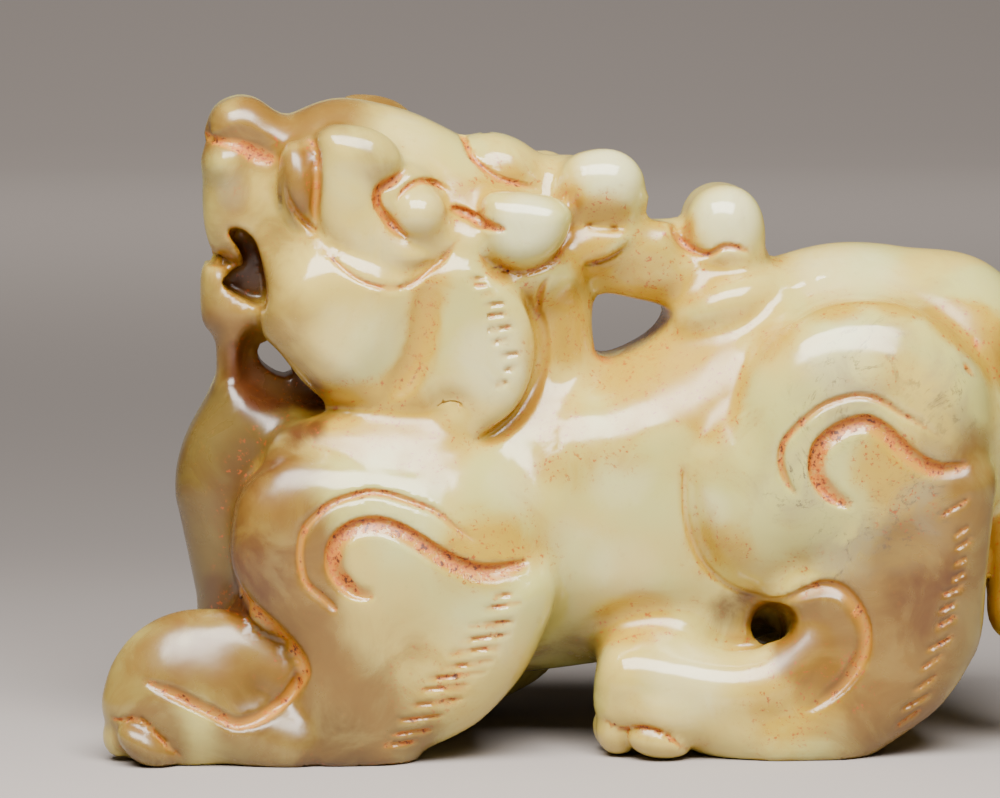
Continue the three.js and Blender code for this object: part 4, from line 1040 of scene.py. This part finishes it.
def polished_jade():
    """Green-white jade: honey and brown painted shade in recesses, brownish stains partly painted shade,
    painted highlights, orange residue in cuts.
    """
    jade = Finish("jade")
    place = jade.place()
    drift = jade.cloud(place, 55.0, 3.0, 0.6)
    wisps = jade.cloud(place, 150.0, 5.0, 1.0, 0.6)
    grain = jade.cloud(place, 900.0, 4.0, 0.0, 0.7)
    dust = jade.cloud(place, 2600.0, 2.0, 0.0, 0.6)
    colour = jade.over(jade.ramp(drift, 0.38, 0.62), GREEN_STONE, CREAM_STONE)
    # Whitish tone with painted highlights.
    pale_and_highlight = jade.sum_of(jade.painted("pale_and_highlight"), jade.ramp(wisps, 0.4, 0.72, -0.1, 0.2))
    colour = jade.over(jade.ramp(pale_and_highlight, 0.0, 1.2, 0.0, 0.85), colour, WHITE_STONE_AND_HIGHLIGHT)

    # Painted shade: the recess measure adds honey and, deepest in, brown.
    recess_shade = jade.painted("recess_shade")
    honey = jade.sum_of(jade.painted("honey"), jade.times(recess_shade, 1.3))
    honey = jade.sum_of(honey, jade.ramp(wisps, 0.3, 0.7, -0.15, 0.25))
    colour = jade.over(jade.ramp(honey, 0.05, 1.0, 0.0, 0.9), colour, HONEY_TINT)
    colour = jade.over(jade.ramp(recess_shade, 0.45, 1.0, 0.0, 0.65), colour, RECESS_SHADE_BROWN)

    # Brown-yellow and brown-green stains, partly painted shade; then dark brown painted shade.
    tan = stain_and_shade_mask(jade, wisps, "tan")
    colour = jade.over(jade.ramp(tan, 0.0, 1.15, 0.0, 0.9), colour, TAN_SKIN_AND_SHADE)
    olive_and_shade = stain_and_shade_mask(jade, wisps, "olive_and_shade")
    colour = jade.over(jade.ramp(olive_and_shade, 0.05, 0.95, 0.0, 0.88), colour, OLIVE_SKIN_AND_SHADE)
    umber_shade = stain_and_shade_mask(jade, wisps, "umber_shade")
    colour = jade.over(jade.ramp(umber_shade, 0.05, 0.9, 0.0, 0.92), colour, PAINTED_SHADE_UMBER)

    grey = jade.painted("grey")
    cloudy = jade.times(grey, jade.ramp(wisps, 0.36, 0.62))
    colour = jade.over(jade.times(cloudy, 0.7), colour, GREY_CLOUD)
    vein = jade.node("Math", {0: jade.cloud(place, 95.0, 6.0, 1.6, 0.65), 1: 0.5}, operation="SUBTRACT")
    vein = jade.node("Math", {0: vein}, operation="ABSOLUTE")
    vein = jade.times(jade.ramp(vein, 0.0, 0.022, 1.0, 0.0), jade.ramp(grain, 0.4, 0.62))
    colour = jade.over(jade.times(vein, jade.times(grey, 0.8)), colour, VEIN_BROWN)

    speck = jade.times(jade.ramp(dust, 0.56, 0.64), jade.ramp(grain, 0.46, 0.58))
    speck = jade.times(speck, jade.ramp(honey, 0.15, 0.7))
    colour = jade.over(jade.times(speck, 0.85), colour, SPECK_BROWN)

    residue = jade.painted("residue")
    crumbs = jade.sum_of(residue, jade.ramp(grain, 0.35, 0.65, -0.35, 0.35))
    laid = jade.ramp(crumbs, 0.3, 0.62)
    rust = jade.over(jade.ramp(dust, 0.42, 0.6), RUST_ORANGE, RUST_RED)
    rust = jade.over(jade.ramp(jade.times(dust, grain), 0.31, 0.36), rust, RUST_DARK)
    bank = jade.ramp(residue, 0.0, 0.4, 0.0, 0.85)
    colour = jade.over(bank, colour, BANK_OCHRE)
    colour = jade.over(jade.times(laid, 0.95), colour, rust)

    jade.feed(jade.shader, "Base Color", colour)
    worn = jade.ramp(jade.sum_of(honey, jade.sum_of(tan, olive_and_shade)), 0.2, 1.2, 0.14, 0.3)
    jade.feed(jade.shader, "Roughness", jade.sum_of(worn, jade.times(laid, 0.3)))
    jade.feed(jade.shader, "Specular IOR Level", 0.55)
    jade.feed(jade.shader, "IOR", 1.61)
    jade.feed(jade.shader, "Subsurface Weight", 0.25)
    jade.feed(jade.shader, "Subsurface Radius", (1.0, 0.7, 0.35))
    jade.feed(jade.shader, "Subsurface Scale", 0.002)
    waves = {"Strength": 0.3, "Distance": 0.0004, "Height": jade.cloud(place, 200.0, 2.0)}
    swell = jade.node("Bump", waves, "Normal")
    grit = {"Strength": 0.5, "Distance": 0.00008, "Height": jade.times(laid, dust), "Normal": swell}
    pits = jade.node("Bump", grit, "Normal")
    jade.feed(jade.shader, "Normal", pits)
    return jade.material


# Floor, light and camera.

TARGET = Vector((-0.0094, -0.012, 0.036))  # what the camera looks at
AWAY = 0.45  # how far the camera stands from it
AZIMUTH, ELEVATION = radians(-4), radians(6)  # and on which side, and how high
SEEN = 0.1  # width of the picture at the target
SENSOR = 36
CLIP_NEAR = 0.01
FLOOR_NEAR, FLOOR_FAR, FLOOR_SIDE = -0.9, 1.1, 2.2
SWEEP = 0.9  # radius of the curve from the floor up into the wall
WALL_TOP = 2.4
PAPER_DARK, PAPER_LIGHT = (0.19, 0.167, 0.154, 1), (0.38, 0.34, 0.318, 1)
FADES = (-0.08, 0.16)  # painted shade: the paper's colour darkens from the first of these to the second, for light falling off towards the back


def stage_sweep():
    """Floor that curves up into a wall behind the beast."""
    curve = [
        (FLOOR_FAR + SWEEP * sin(radians(t)), SWEEP - SWEEP * cos(radians(t))) for t in range(0, 91, 6)
    ]
    path = [(FLOOR_NEAR, 0.0), *curve, (FLOOR_FAR + SWEEP, WALL_TOP)]
    bm = bmesh.new()
    verts = [bm.verts.new((-FLOOR_SIDE, y, z)) for y, z in path]
    edges = [bm.edges.new(pair) for pair in zip(verts[:-1], verts[1:])]
    swept = bmesh.ops.extrude_edge_only(bm, edges=edges)
    for corner in swept["geom"]:
        if isinstance(corner, bmesh.types.BMVert):
            corner.co.x = FLOOR_SIDE
    bmesh.ops.recalc_face_normals(bm, faces=bm.faces)
    mesh = bpy.data.meshes.new("paper_sweep")
    bm.to_mesh(mesh)
    bm.free()
    mesh.polygons.foreach_set("use_smooth", [True] * len(mesh.polygons))
    sweep = bpy.data.objects.new("paper_sweep", mesh)
    bpy.context.collection.objects.link(sweep)
    paper = Finish("backdrop_paper")
    # Painted shade: the paper darkens towards the back.
    depth = paper.node("SeparateXYZ", {"Vector": paper.place()}, "Y")
    paper.feed(paper.shader, "Base Color", paper.over(paper.ramp(depth, *FADES), PAPER_LIGHT, PAPER_DARK))
    paper.feed(paper.shader, "Roughness", 0.9)
    mesh.materials.append(paper.material)
    return sweep


def softbox(name, spot, aim, size, power, colour):
    data = bpy.data.lights.new(name, "AREA")
    data.shape = "RECTANGLE"
    data.size, data.size_y = size
    data.energy = power
    data.color = colour
    lamp = bpy.data.objects.new(name, data)
    bpy.context.collection.objects.link(lamp)
    lamp.location = spot
    lamp.rotation_euler = (Vector(aim) - Vector(spot)).to_track_quat("-Z", "Y").to_euler()


def set_camera():
    toward = Vector((sin(AZIMUTH) * cos(ELEVATION), -cos(AZIMUTH) * cos(ELEVATION), sin(ELEVATION)))
    data = bpy.data.cameras.new("camera")
    data.sensor_width = SENSOR
    data.lens = SENSOR * AWAY / SEEN
    data.clip_start = CLIP_NEAR
    camera = bpy.data.objects.new("camera", data)
    bpy.context.collection.objects.link(camera)
    camera.location = TARGET + toward * AWAY
    camera.rotation_euler = (-toward).to_track_quat("-Z", "Y").to_euler()
    bpy.context.scene.camera = camera


def room_light(colour, strength):
    world = bpy.data.worlds.new("room")
    world.use_nodes = True
    world.node_tree.nodes["Background"].inputs["Color"].default_value = colour
    world.node_tree.nodes["Background"].inputs["Strength"].default_value = strength
    bpy.context.scene.world = world


def set_lights():
    softbox(
        "overhead_softbox",
        spot=(-0.04, -0.23, 0.38), aim=(0, -0.01, 0.03), size=(0.46, 0.26),
        power=7.6, colour=(1, 0.985, 0.96),
    )
    softbox(
        "backdrop_softbox",
        spot=(0, 0.68, 0.75), aim=(0, 1.6, 0), size=(1.2, 0.4),
        power=17.0, colour=(1, 0.97, 0.93),
    )
    room_light((0.5, 0.48, 0.46, 1), 0.06)


beast = beast_skin()
tinted(beast.data)
beast.data.materials.append(polished_jade())
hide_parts("qilin")
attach(beast, "root")
stage_sweep()
set_lights()
set_camera()
